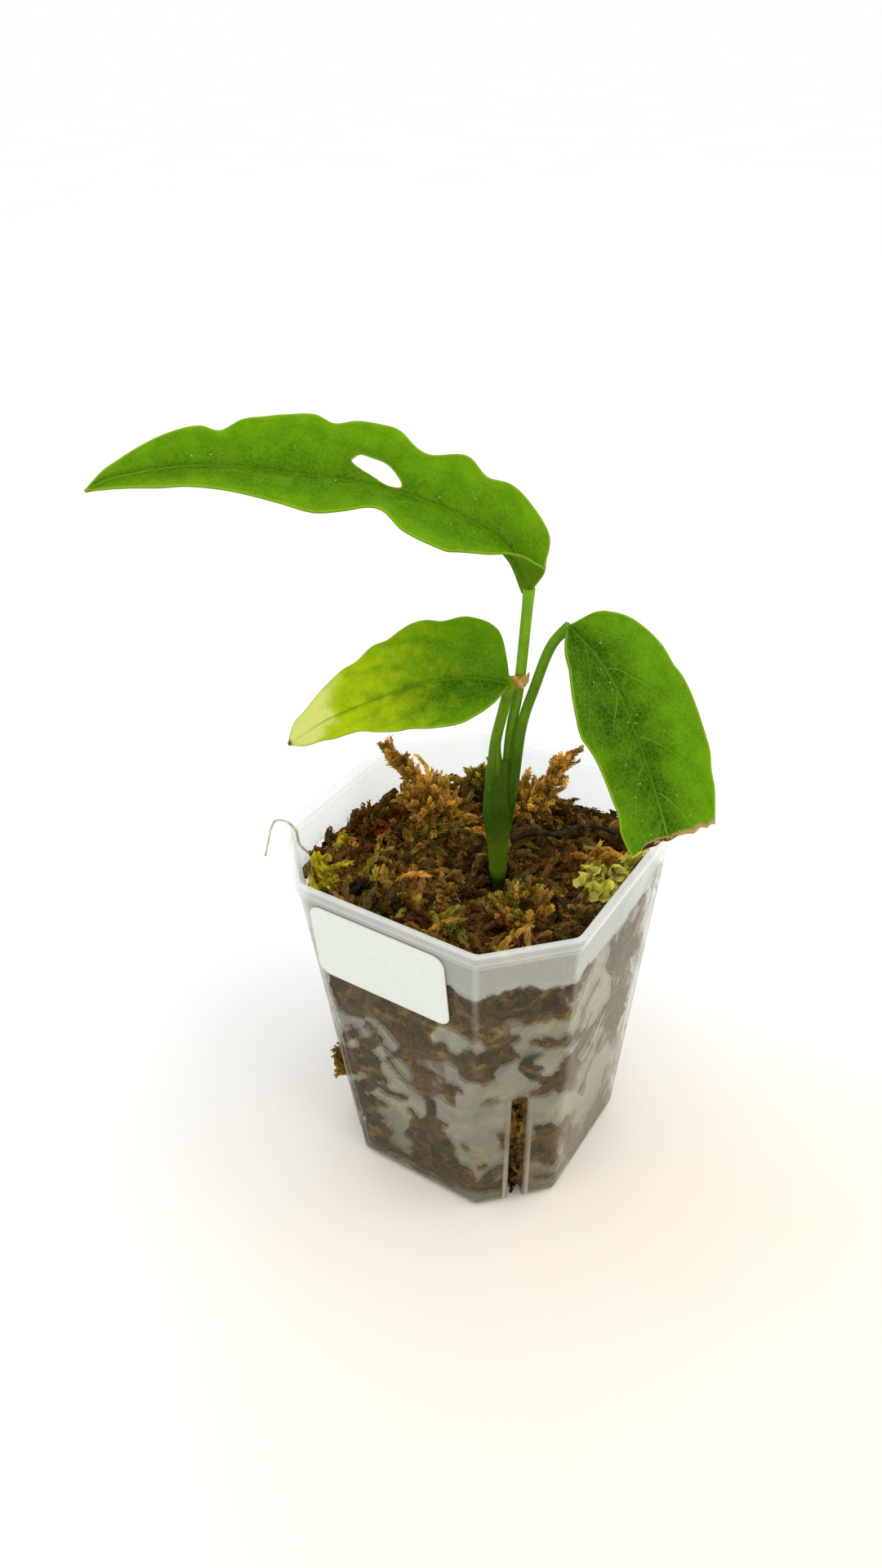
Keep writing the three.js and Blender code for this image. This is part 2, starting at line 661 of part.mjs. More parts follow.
function makeLooseSprigs() {
  const draw = drawer(11);
  const sprigs = [];
  while (sprigs.length < MOSS.sprigs) {
    const [angle, share] = [draw(0, 2 * Math.PI), Math.sqrt(draw(0.02, 1))];
    const reach = reachAt(angle, MOSS.level, 4) * share;
    const [x, y] = [Math.cos(angle) * reach, Math.sin(angle) * reach];
    const turn = draw(0, 2 * Math.PI);
    const [length, rise] = [draw(7, 12), draw(0.1, 0.7)];
    const run = length * Math.cos(rise);
    const root = vector([x, y, mossHeight(x, y) - 0.8]);
    const out = vector([Math.cos(turn) * run, Math.sin(turn) * run, length * Math.sin(rise)]);
    const tip = root.clone().add(out);
    const free = Math.hypot(x - STEM.x, y - STEM.y) > 6 && Math.hypot(tip.x - STEM.x, tip.y - STEM.y) > 5;
    const clear = TUFTS.every((tuft) => Math.hypot(x - tuft.at[0], y - tuft.at[1]) > tuft.radius - 1);
    if (free && clear) sprigs.push(sprig(root, tip, draw(3, 4.2), draw));
  }
  return wasm.Manifold.union(sprigs);
}

function makeSlitTuft() {
  const { corner, z, from, to, thick } = SLIT_TUFT;
  const draw = drawer(5);
  const angle = Math.PI / 4 + (corner * Math.PI) / 2;
  const at = (distance, height) => vector([Math.cos(angle) * distance, Math.sin(angle) * distance, height]);
  const upper = sprig(at(from, z), at(to, z + 1.5), thick, draw);
  const tuft = upper.add(sprig(at(from, z - 2), at(to - 1.5, z - 5), thick, draw));
  const width = SLIT.width - 2 * CLEAR;
  const gap = archPlate(width, 2 * POT.footRadius, SLIT.top - 1, -SLIT.reach, SLIT.reach);
  return tuft.intersect(solidOf(gap.applyMatrix4(cornerFrame(corner))));
}

// The plant

const ovalRing = ([z, x, y, across, deep], grow) =>
  Array.from({ length: 12 }, (_, j) => {
    const angle = (2 * Math.PI * j) / 12;
    const [side, front] = [Math.cos(angle) * (across + grow), Math.sin(angle) * (deep + grow)];
    const [cos, sin] = [Math.cos(VIEW), Math.sin(VIEW)];
    return vector([x + side * cos - front * sin, y + side * sin + front * cos, z]);
  });

function makeStem(grow = 0) {
  const rings = STEM_SECTIONS.map((section) => ovalRing(section, grow));
  rings[0].forEach((p) => p.setZ(p.z - grow));
  rings.at(-1).forEach((p) => p.setZ(p.z + grow));
  return solidOf(loft(rings));
}

function makeStalk({ path, foot, neck }, grow = 0) {
  const curve = new THREE.CatmullRomCurve3(path.map(vector), false, "centripetal");
  return solidOf(bar(curve, (s) => lerp(foot, neck, Math.sqrt(s)) / 2 + grow, 8, 12));
}

function makeWing() {
  const { bottom, top, reach, thick } = WING;
  const curve = new THREE.CatmullRomCurve3(STALKS.petiole_left.path.map(vector), false, "centripetal");
  const side = vector([Math.cos(VIEW), Math.sin(VIEW), 0]);
  const rows = [0, 0.2, 0.4, 0.6, 0.8, 1].map((share) => {
    const z = lerp(bottom, top, share);
    const near = Array.from({ length: 61 }, (_, i) => curve.getPointAt(i / 60));
    const middle = near.reduce((a, b) => (Math.abs(b.z - z) < Math.abs(a.z - z) ? b : a)).clone().setZ(z);
    const width = lerp(reach, 1.2, share ** 1.5);
    return [0, 0.5, 1].map((part) => middle.clone().addScaledVector(side, part * width));
  });
  return solidOf(sheet(rows, thick));
}

function spineKnots(spine) {
  const points = spine.map(vector);
  const lengths = points.map((p, i) => (i ? p.distanceTo(points[i - 1]) : 0));
  const total = lengths.reduce((a, b) => a + b);
  let run = 0;
  return lengths.map((length) => (run += length) / total);
}

// A point of a blade, at a share of its length and a share of a half's width, less than 0 on the left
function bladePoint(blade, share, across) {
  const knots = spineKnots(blade.spine);
  const at = (s) => vectorAt(knots, blade.spine, THREE.MathUtils.clamp(s, 0, 1));
  const along = at(share + 0.001).sub(at(share - 0.001)).normalize();
  const faces = blade.faces.map((f) => f.toArray());
  const up = vectorAt(faces.map((_, i) => i / (faces.length - 1)), faces, share);
  up.addScaledVector(along, -up.dot(along)).normalize();
  const right = along.clone().cross(up);
  const half = across < 0 ? blade.left : blade.right;
  const width = Math.max(curveAt(half.shares, half.widths, share), 0.5) * Math.abs(across);
  const fold = degToRad(curveAt(half.foldShares, half.folds, share));
  const middle = fold + (degToRad(blade.curl) * Math.abs(across)) / 2;
  return at(share)
    .addScaledVector(right, Math.sign(across) * Math.cos(middle) * width)
    .addScaledVector(up, Math.sin(middle) * width);
}

function makeBlade(blade, grow = 0) {
  const grid = [];
  for (let i = 0; i <= blade.stations; i++) {
    const share = (i / blade.stations) ** 1.15;
    grid.push(BLADE_COLUMNS.map((across) => bladePoint(blade, share, across)));
  }
  const ribColumn = BLADE_COLUMNS.indexOf(0);
  const rib = (row, column) => (column === ribColumn ? blade.rib * (1 - row / blade.stations) : 0);
  let solid = solidOf(sheet(grid, BLADE_THICKNESS + 2 * grow, rib));
  if (blade.hole) {
    const ring = (lift) =>
      blade.hole.map(([share, across]) => {
        const normal = bladePoint(blade, share, across + 0.1).sub(bladePoint(blade, share, across));
        const along = bladePoint(blade, share + 0.02, across).sub(bladePoint(blade, share, across));
        return bladePoint(blade, share, across).addScaledVector(normal.cross(along).normalize(), lift);
      });
    solid = solid.subtract(solidOf(loft([ring(-3), ring(3)])));
  }
  return solid;
}

function makeScrap() {
  const { x, y, z, radius, half, spread, flare, thick, parts } = SCRAP;
  const draw = drawer(9);
  const rows = Array.from({ length: parts + 1 }, (_, i) => {
    const part = (2 * i) / parts - 1;
    const angle = degToRad(part * spread) + VIEW - Math.PI / 2;
    const reach = radius + flare * Math.abs(part) ** 3;
    const tall = half * (1 - 0.55 * Math.abs(part)) * draw(0.75, 1.1);
    const [px, py] = [x + Math.cos(angle) * reach, y + Math.sin(angle) * reach];
    return [1, 0, -1].map((side) => vector([px, py, z + side * tall]));
  });
  return solidOf(sheet(rows, thick));
}

function makeRoots(grow = 0) {
  const crown = new THREE.IcosahedronGeometry(CROWN.radius + grow, 1).translate(STEM.x, STEM.y, CROWN.z);
  const bars = ROOTS.map(({ path, thick }) => {
    const curve = new THREE.CatmullRomCurve3(path.map(vector), false, "centripetal");
    return bar(curve, (s) => (thick / 2) * (1 - 0.35 * s) + grow, 5, 2 * path.length);
  });
  return wasm.Manifold.union([crown, ...bars].map(solidOf));
}

function makeTwig(grow = 0) {
  const points = TWIG.path.map(([x, y]) => vector([x, y, mossHeight(x, y) + TWIG.lift]));
  const curve = new THREE.CatmullRomCurve3(points, false, "centripetal");
  return solidOf(bar(curve, (s) => (TWIG.thick / 2) * (1 - 0.45 * s) + grow, 5, 10));
}

function makeStrand(grow = 0) {
  const curve = new THREE.CatmullRomCurve3(STRAND.path.map(vector), false, "centripetal");
  return solidOf(bar(curve, () => STRAND.thick / 2 + grow, 5, 16));
}

// Pieces cut clear of each other

const touch = CLEAR + 0.05;
const standing = [makeStem(touch), makeRoots(touch), makeTwig(touch), makeStrand(touch)];
const keepOut = wasm.Manifold.union(standing);
const liftedCore = makeMossCore(touch);
const inside = makeInside();

const spaces = TUFTS.map((tuft) => tuftSpace(tuft, touch));
const loose = makeLooseSprigs().subtract(wasm.Manifold.union(spaces)).intersect(inside);
const mossBed = makeMossCore().add(loose).add(makeSlitTuft()).subtract(keepOut);

const tufts = TUFTS.map((tuft, i) => {
  const taken = [liftedCore, keepOut, ...spaces.slice(0, i)];
  return makeTuft(tuft, 44 + i).intersect(inside).subtract(wasm.Manifold.union(taken));
});

const blades = Object.fromEntries(Object.entries(BLADES).map(([name, blade]) => [name, makeBlade(blade)]));
const bladeSpace = wasm.Manifold.union(Object.values(BLADES).map((blade) => makeBlade(blade, touch)));

const cutStalk = ([name, stalk]) => [name, makeStalk(stalk).subtract(bladeSpace)];
const stalks = Object.fromEntries(Object.entries(STALKS).map(cutStalk));
const beside = makeStalk(STALKS.petiole_top, touch).add(makeStalk(STALKS.petiole_right, touch));
stalks.petiole_left = stalks.petiole_left.add(makeWing().subtract(beside));

// The finished part

const part = new THREE.Group();

function place(name, solid, colour, roughness) {
  const material = new THREE.MeshStandardMaterial({ color: colour, roughness, metalness: 0 });
  const mesh = new THREE.Mesh(geometryFrom(solid), material);
  mesh.name = name;
  part.add(mesh);
}

place("pot", makePot(), 0xd9dde0, 0.25);
place("label", makeLabel(), 0xf4f6f3, 0.6);
place("moss_bed", mossBed, 0x4a2f16, 0.95);
TUFTS.forEach((tuft, i) => place(tuft.name, tufts[i], tuft.colour, 0.95));
place("twig", makeTwig(), 0x2e1c10, 0.9);
place("pale_strand", makeStrand(), 0xd8d3b4, 0.8);
place("roots", makeRoots(), 0x7a5a34, 0.8);
place("stem", makeStem(), 0x4f7d1e, 0.4);
place("petiole_left", stalks.petiole_left, 0x5d9420, 0.4);
place("petiole_top", stalks.petiole_top, 0x6f9f2a, 0.4);
place("petiole_right", stalks.petiole_right, 0x447a1c, 0.4);
place("leaf_top", blades.leaf_top, 0x4b8512, 0.4);
place("leaf_left", blades.leaf_left, 0x6f9d1c, 0.4);
place("leaf_right", blades.leaf_right, 0x427d10, 0.4);
place("dried_sheath", makeScrap(), 0xa87a3c, 0.9);

export default part;
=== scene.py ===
"""A potted young monstera: three leaves on slender stalks in a clear square pot of sphagnum moss.

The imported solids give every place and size. The pieces made here replace them one for one with
finer forms, and add the veins, the moss strands and the finish of each surface. Sizes are in
millimetres until a mesh is made, and a pattern's scale is in patches to a metre.
"""

import logging
import math
from collections.abc import Callable
from dataclasses import dataclass, field
from enum import Enum
from functools import cache
from itertools import product

import bpy
import numpy as np
from mathutils import Matrix, Vector
from mathutils.kdtree import KDTree


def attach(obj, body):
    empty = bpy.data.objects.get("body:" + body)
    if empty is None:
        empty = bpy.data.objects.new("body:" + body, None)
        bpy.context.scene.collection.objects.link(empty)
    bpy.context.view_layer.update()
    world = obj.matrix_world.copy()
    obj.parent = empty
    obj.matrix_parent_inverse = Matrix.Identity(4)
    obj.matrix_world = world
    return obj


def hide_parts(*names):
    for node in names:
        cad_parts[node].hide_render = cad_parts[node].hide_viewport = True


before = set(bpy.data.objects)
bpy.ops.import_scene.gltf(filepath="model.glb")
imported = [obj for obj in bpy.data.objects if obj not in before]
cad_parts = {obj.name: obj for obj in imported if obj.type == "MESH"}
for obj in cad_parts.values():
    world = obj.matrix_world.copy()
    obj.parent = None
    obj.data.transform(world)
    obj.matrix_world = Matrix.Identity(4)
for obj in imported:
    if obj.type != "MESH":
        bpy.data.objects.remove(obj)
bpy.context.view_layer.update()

Array = np.ndarray
Colour = tuple[float, float, float]
Places = tuple[tuple[float, ...], ...]
Piece = bpy.types.Object
Sprig = tuple[Array, Array, Array]  # points, faces, and how far out on a leaflet each point is

LOG = logging.getLogger("monstera")
MM = 0.001
TURN = 2 * math.pi
VIEW = math.radians(33.8)  # the side that the leaves turn to, clockwise from -Y
FRONT = np.array([math.sin(VIEW), -math.cos(VIEW), 0])
RIGHT = np.array([math.cos(VIEW), math.sin(VIEW), 0])


# Numbers


def srgb(code: str) -> Colour:
    """Turns six hexadecimal digits, a colour as a screen shows it, into linear light."""
    values = (value / 255 for value in bytes.fromhex(code))
    return tuple(v / 12.92 if v < 0.04 else ((v + 0.055) / 1.055) ** 2.4 for v in values)


def smoothstep(value: Array, low: float, high: float) -> Array:
    """Eases from 0 at low to 1 at high."""
    s = np.clip((value - low) / (high - low), 0, 1)
    return s * s * (3 - 2 * s)


def unit(vectors: Array) -> Array:
    """Scales vectors to length 1."""
    return vectors / np.maximum(np.linalg.norm(vectors, axis=-1, keepdims=True), 1e-9)


def around(angle: Array, reach: Array, z: Array) -> Array:
    """Gives the points at angles round the Z axis, distances from it and heights."""
    return np.stack(np.broadcast_arrays(np.cos(angle) * reach, np.sin(angle) * reach, z), axis=-1)


def noise(x: Array, y: Array, z: Array) -> Array:
    """Gives a smooth random value at each point, with a new one each unit.

    Args:
        x: First coordinates.
        y: Second coordinates.
        z: Third coordinates.

    Returns:
        Values from 0 to 1.
    """
    place = np.broadcast_arrays(np.asarray(x, float), y, z)
    cells = [np.floor(axis) for axis in place]
    shares = [smoothstep(axis - cell, 0, 1) for axis, cell in zip(place, cells)]
    total = 0.0
    for corner in product((0, 1), repeat=3):
        value = sum((cell + step) * mix for cell, step, mix in zip(cells, corner, (127.1, 311.7, 74.7)))
        value = np.sin(value) * 43758.5453
        weight = math.prod(share if step else 1 - share for share, step in zip(shares, corner))
        total = total + (value - np.floor(value)) * weight
    return total


def hermite(s: Array, start: Array, out: Array, end: Array, into: Array) -> Array:
    """Blends from a value and slope to another value and slope, as s goes from 0 to 1."""
    first = (2 * s**3 - 3 * s**2 + 1) * start + (s**3 - 2 * s**2 + s) * out
    return first + (3 * s**2 - 2 * s**3) * end + (s**3 - s**2) * into


def curve_at(shares: Array, values: Array, at: Array) -> Array:
    """Follows a smooth curve through the given values.

    Args:
        shares: Where the values stand, rising.
        values: The values, with one row for each share.
        at: Where the curve is read.

    Returns:
        The curve's values, one row for each place.
    """
    shares, values, at = (np.asarray(a, float) for a in (shares, values, at))
    last = len(shares) - 1
    k = np.clip(np.searchsorted(shares, at, side="right") - 1, 0, last - 1)
    low, high = np.maximum(np.arange(last + 1) - 1, 0), np.minimum(np.arange(last + 1) + 1, last)
    column = (-1,) + (1,) * (values.ndim - 1)
    slope = (values[high] - values[low]) / (shares[high] - shares[low]).reshape(column)
    step = (shares[k + 1] - shares[k]).reshape(column)
    s = (at - shares[k]).reshape(column) / step
    return hermite(s, values[k], slope[k] * step, values[k + 1], slope[k + 1] * step)


def smooth_path(points: Array, count: int) -> Array:
    """Runs a smooth curve through points.

    Args:
        points: The points that it passes.
        count: How many points to give, evenly spaced.

    Returns:
        Points along the curve.
    """
    p = np.asarray(points, float)
    p = np.vstack([2 * p[0] - p[1], p, 2 * p[-1] - p[-2]])
    d = np.sqrt(np.linalg.norm(np.diff(p, axis=0), axis=1))[:, None]
    rise = np.diff(p, axis=0) / d
    slope = rise[:-1] - (p[2:] - p[:-2]) / (d[:-1] + d[1:]) + rise[1:]
    s = np.linspace(0, 1, 24, endpoint=False)[:, None]
    parts = [hermite(s, p[i], slope[i - 1] * d[i], p[i + 1], slope[i] * d[i]) for i in range(1, len(p) - 2)]
    fine = np.vstack([*parts, p[-2]])
    run = np.concatenate([[0], np.cumsum(np.linalg.norm(np.diff(fine, axis=0), axis=1))])
    return np.stack([np.interp(np.linspace(0, run[-1], count), run, axis) for axis in fine.T], axis=1)


def capped(rings: Array) -> Array:
    """Closes a row of rings with a point at both ends."""
    ends = [np.repeat(np.mean(ring, axis=0)[None], len(ring), axis=0) for ring in (rings[0], rings[-1])]
    return np.array([ends[0], *rings, ends[1]])


def tube(path: Array, radii: Array, sides: int) -> Array:
    """Lays rings round a path, closed to a point at both ends.

    Args:
        path: Points along the middle.
        radii: The radius at each point.
        sides: How many points a ring has.

    Returns:
        Rings of points.
    """
    along = unit(np.gradient(path, axis=0))
    normal = unit(np.cross(along[0], [0.3, 0.5, 0.8]))
    angle = np.linspace(0, TURN, sides, endpoint=False)[:, None]
    rings = []
    for point, way, radius in zip(path, along, radii):
        normal = unit(normal - way * normal.dot(way))
        rings.append(point + radius * (np.cos(angle) * normal + np.sin(angle) * np.cross(way, normal)))
    return capped(rings)


# Meshes


def choose(*pieces: Piece) -> None:
    """Selects pieces alone, and makes the first one active.

    Args:
        *pieces: The pieces.
    """
    bpy.ops.object.select_all(action="DESELECT")
    for piece in pieces:
        piece.select_set(True)
    bpy.context.view_layer.objects.active = pieces[0]


def added(primitive: Callable, **settings: object) -> Piece:
    """Adds a primitive while nothing else is selected.

    Args:
        primitive: The operator that adds it.
        **settings: Its settings.

    Returns:
        The new piece.
    """
    bpy.ops.object.select_all(action="DESELECT")
    primitive(**settings)
    return bpy.context.object


def read(piece: Piece, scale: float = 1 / MM) -> Array:
    """Gives a piece's points, in millimetres unless a scale is given.

    Args:
        piece: The piece.
        scale: What its coordinates are multiplied by.

    Returns:
        The points.
    """
    flat = np.empty(len(piece.data.vertices) * 3)
    piece.data.vertices.foreach_get("co", flat)
    return flat.reshape(-1, 3) * scale


def painted(piece: Piece, name: str) -> Array:
    """Gives the number that each point of a piece holds."""
    layer = piece.data.attributes[name].data
    return np.array([point.value for point in layer])


def paint(piece: Piece, **layers: Array) -> None:
    """Gives each point of a piece numbers or colours.

    Args:
        piece: The piece.
        **layers: By their names, a number for all points or each one, or a colour for each.
    """
    count = len(piece.data.vertices)
    for name, values in layers.items():
        if np.ndim(values) < 2:
            layer = piece.data.attributes.new(name, "FLOAT", "POINT")
            layer.data.foreach_set("value", np.broadcast_to(np.asarray(values, float), count).copy())
        else:
            layer = piece.data.attributes.new(name, "FLOAT_COLOR", "POINT")
            layer.data.foreach_set("color", np.hstack([values, np.ones((count, 1))]).ravel())


def lofted(name: str, rings: Array, wrap: bool = True, **values: Array) -> Piece:
    """Makes a piece from rings or rows of points, out of a grid that is rolled up to them.

    Args:
        name: The piece's name.
        rings: Points in rows, in millimetres.
        wrap: Whether each row closes on itself.
        **values: What the points hold, in rows too.

    Returns:
        The piece.
    """
    rows, sides = rings.shape[:2]
    columns = sides + wrap
    steps = {"x_subdivisions": columns - 1, "y_subdivisions": rows - 1}
    piece = added(bpy.ops.mesh.primitive_grid_add, size=1, **steps)
    piece.name = piece.data.name = name
    x, y, _ = read(piece, 1).T + 0.5
    row, column = np.rint(y * (rows - 1)).astype(int), np.rint(x * (columns - 1)).astype(int) % sides
    piece.data.vertices.foreach_set("co", (rings[row, column] * MM).ravel())
    piece.data.update()
    placed = {key: np.broadcast_to(value, (rows, sides))[row, column] for key, value in values.items()}
    paint(piece, **placed)
    if wrap:
        choose(piece)
        bpy.ops.object.mode_set(mode="EDIT")
        bpy.ops.mesh.select_all(action="SELECT")
        bpy.ops.mesh.remove_doubles(threshold=2e-6)
        bpy.ops.mesh.normals_make_consistent(inside=False)
        bpy.ops.object.mode_set(mode="OBJECT")
    return piece


def from_points(name: str, points: Array, faces: Array) -> Piece:
    """Makes a piece from points and faces.

    Args:
        name: The piece's name.
        points: The points, in millimetres.
        faces: The corners of each face, in rows.

    Returns:
        The piece.
    """
    mesh = bpy.data.meshes.new(name)
    mesh.vertices.add(len(points))
    mesh.vertices.foreach_set("co", (points * MM).ravel())
    mesh.loops.add(faces.size)
    mesh.loops.foreach_set("vertex_index", faces.ravel())
    mesh.polygons.add(len(faces))
    mesh.polygons.foreach_set("loop_start", np.arange(len(faces)) * faces.shape[1])
    mesh.update(calc_edges=True)
    piece = bpy.data.objects.new(name, mesh)
    bpy.context.collection.objects.link(piece)
    return piece


def modify(piece: Piece, kind: str, **settings: object) -> None:
    """Adds a modifier, sets it and applies it.

    Args:
        piece: The piece that it works on.
        kind: The modifier's type.
        **settings: Its settings.
    """
    choose(piece)
    modifier = piece.modifiers.new(kind.title(), kind)
    for key, value in settings.items():
        setattr(modifier, key, value)
    bpy.ops.object.modifier_apply(modifier=modifier.name)


def join(*pieces: Piece) -> None:
    """Joins pieces into the first one."""
    choose(*pieces)
    bpy.ops.object.join()


def cut(piece: Piece, cutter: Piece) -> None:
    """Cuts one piece out of another, and takes the cutter away."""
    modify(piece, "BOOLEAN", operation="DIFFERENCE", solver="EXACT", object=cutter)
    bpy.data.objects.remove(cutter)


# Shader graphs


class Value:
    """What flows out of a shader node. Sums and products of it are nodes too."""

    def __init__(self, graph: "Graph", socket: bpy.types.NodeSocket) -> None:
        """Keeps the socket, and the graph that it is in."""
        self.graph, self.socket = graph, socket

    def __add__(self, other: "Value | float") -> "Value":
        """Adds to it."""
        return self.graph.math("ADD", self, other)

    def __sub__(self, other: "Value | float") -> "Value":
        """Takes from it."""
        return self.graph.math("SUBTRACT", self, other)

    def __rsub__(self, other: float) -> "Value":
        """Takes it from a number."""
        return self.graph.math("SUBTRACT", other, self)

    def __mul__(self, other: "Value | float") -> "Value":
        """Multiplies it."""
        return self.graph.math("MULTIPLY", self, other)


class Graph:
    """Adds and joins the nodes of one tree."""

    def __init__(self, tree: bpy.types.NodeTree) -> None:
        """Keeps the tree."""
        self.tree = tree

    def feed(self, node: bpy.types.Node, inputs: dict) -> None:
        """Sets a node's inputs.

        Args:
            node: The node.
            inputs: Numbers, colours and values to link, by the input's name or number.
        """
        for key, value in inputs.items():
            if isinstance(value, Value):
                self.tree.links.new(value.socket, node.inputs[key])
            else:
                node.inputs[key].default_value = (*value, 1) if node.inputs[key].type == "RGBA" else value

    def add(self, kind: str, inputs: dict, *outputs: str | int, **settings: object) -> Value | list[Value]:
        """Adds a node.

        Args:
            kind: The node's type.
            inputs: What feeds it.
            *outputs: The outputs to give, the first one if none is named.
            **settings: The node's own settings.

        Returns:
            The output, or a list where several are named.
        """
        node = self.tree.nodes.new(kind)
        for key, value in settings.items():
            setattr(node, key, value)
        self.feed(node, inputs)
        values = [Value(self, node.outputs[key]) for key in outputs or (0,)]
        return values if len(values) > 1 else values[0]

    def value(self, name: str) -> Value:
        """Reads a number that the piece's points hold."""
        return self.add("ShaderNodeAttribute", {}, "Fac", attribute_name=name)

    def place(self) -> Value:
        """Reads the place on the object."""
        return self.add("ShaderNodeTexCoord", {}, "Object")

    def math(self, operation: str, a: Value | float, b: Value | float = 0.0) -> Value:
        """Works out one step of arithmetic."""
        return self.add("ShaderNodeMath", {0: a, 1: b}, operation=operation)

    def ease(self, value: Value, low: float, high: float, start: float = 0.0, end: float = 1.0) -> Value:
        """Eases from start, where a value is low, to end, where it is high."""
        inputs = {"Value": value, "From Min": low, "From Max": high, "To Min": start, "To Max": end}
        return self.add("ShaderNodeMapRange", inputs, interpolation_type="SMOOTHSTEP")

    def blend(self, factor: Value, a: Value | float, b: Value | float) -> Value:
        """Mixes two numbers."""
        return self.add("ShaderNodeMix", {0: factor, 2: a, 3: b}, data_type="FLOAT")

    def mix(self, factor: Value | float, a: Value | Colour, b: Value | Colour, kind: str = "MIX") -> Value:
        """Mixes two colours."""
        return self.add("ShaderNodeMix", {0: factor, 6: a, 7: b}, 2, data_type="RGBA", blend_type=kind)

    def layers(self, colour: Value | Colour, *layers: tuple[Value, Value | Colour]) -> Value:
        """Lays colours over a first one.

        Args:
            colour: The first colour.
            *layers: How much there is of each next one, and the colour.

        Returns:
            The colour on top.
        """
        for factor, over in layers:
            colour = self.mix(factor, colour, over)
        return colour

    def noise(
        self, scale: Value | float, detail: float, place: Value | None = None, rough: float = 0.55
    ) -> Value:
        """Reads a soft random pattern."""
        inputs = {"Vector": place or self.place(), "Scale": scale, "Detail": detail, "Roughness": rough}
        return self.add("ShaderNodeTexNoise", inputs, "Fac")

    def sway(self, scale: float, detail: float, width: float, rough: float = 0.55) -> Value:
        """Reads a soft random pattern that swings evenly about 0."""
        return (self.noise(scale, detail, rough=rough) - 0.5) * width

    def cells(self, scale: float, *outputs: str, **settings: object) -> Value | list[Value]:
        """Reads a pattern of cells."""
        inputs = {"Vector": self.place(), "Scale": scale}
        return self.add("ShaderNodeTexVoronoi", inputs, *outputs, **settings)

    def mottle(self, inputs: dict) -> list[Value]:
        """Places the shared mottling, and gives its colour, its mask and its finer grain."""
        return self.add("ShaderNodeGroup", inputs, "Colour", "Mask", "Fine", node_tree=mottle_group())

    def bump(self, height: Value, distance: float, strength: float) -> Value:
        """Turns a height into a tilt of the surface."""
        inputs = {"Height": height, "Distance": distance, "Strength": strength}
        return self.add("ShaderNodeBump", inputs, "Normal")


@cache
def mottle_group() -> bpy.types.NodeTree:
    """Builds the mottling that plants, moss and paper share.

    Returns:
        A group that gives a colour between two, a mask of it, and the same at a finer grain.
    """
    tree = bpy.data.node_groups.new("mottle", "ShaderNodeTree")
    for way, names, kind in (
        ("INPUT", ("Light", "Dark"), "NodeSocketColor"), ("INPUT", ("Patches", "Grain"), "NodeSocketFloat"),
        ("OUTPUT", ("Colour",), "NodeSocketColor"), ("OUTPUT", ("Mask", "Fine"), "NodeSocketFloat"),
    ):
        for name in names:
            tree.interface.new_socket(name, in_out=way, socket_type=kind)
    g = Graph(tree)
    given = tree.nodes.new("NodeGroupInput").outputs
    light, dark, patches, grain = (Value(g, given[name]) for name in ("Light", "Dark", "Patches", "Grain"))
    place = g.place()
    fine = g.noise(grain, 2.0, place, rough=0.5)
    mask = g.ease(g.noise(patches, 3.0, place, rough=0.5) * 0.7 + fine * 0.3, 0.36, 0.64)
    results = {"Colour": g.mix(mask, light, dark), "Mask": mask, "Fine": fine}
    g.feed(tree.nodes.new("NodeGroupOutput"), results)
    return tree


# Finishes


@dataclass(frozen=True)
class Finish:
    """A finish. Each kind of it says what feeds the surface shader."""

    name: str

    def lay(self, g: Graph) -> dict:
        """Gives what feeds the surface shader, by its inputs' names."""
        raise NotImplementedError

    @cache
    def make(self) -> bpy.types.Material:
        """Builds the material, once.

        Returns:
            The material.
        """
        material = bpy.data.materials.new(self.name)
        material.use_nodes = True
        g = Graph(material.node_tree)
        g.feed(g.tree.nodes["Principled BSDF"], self.lay(g))
        return material


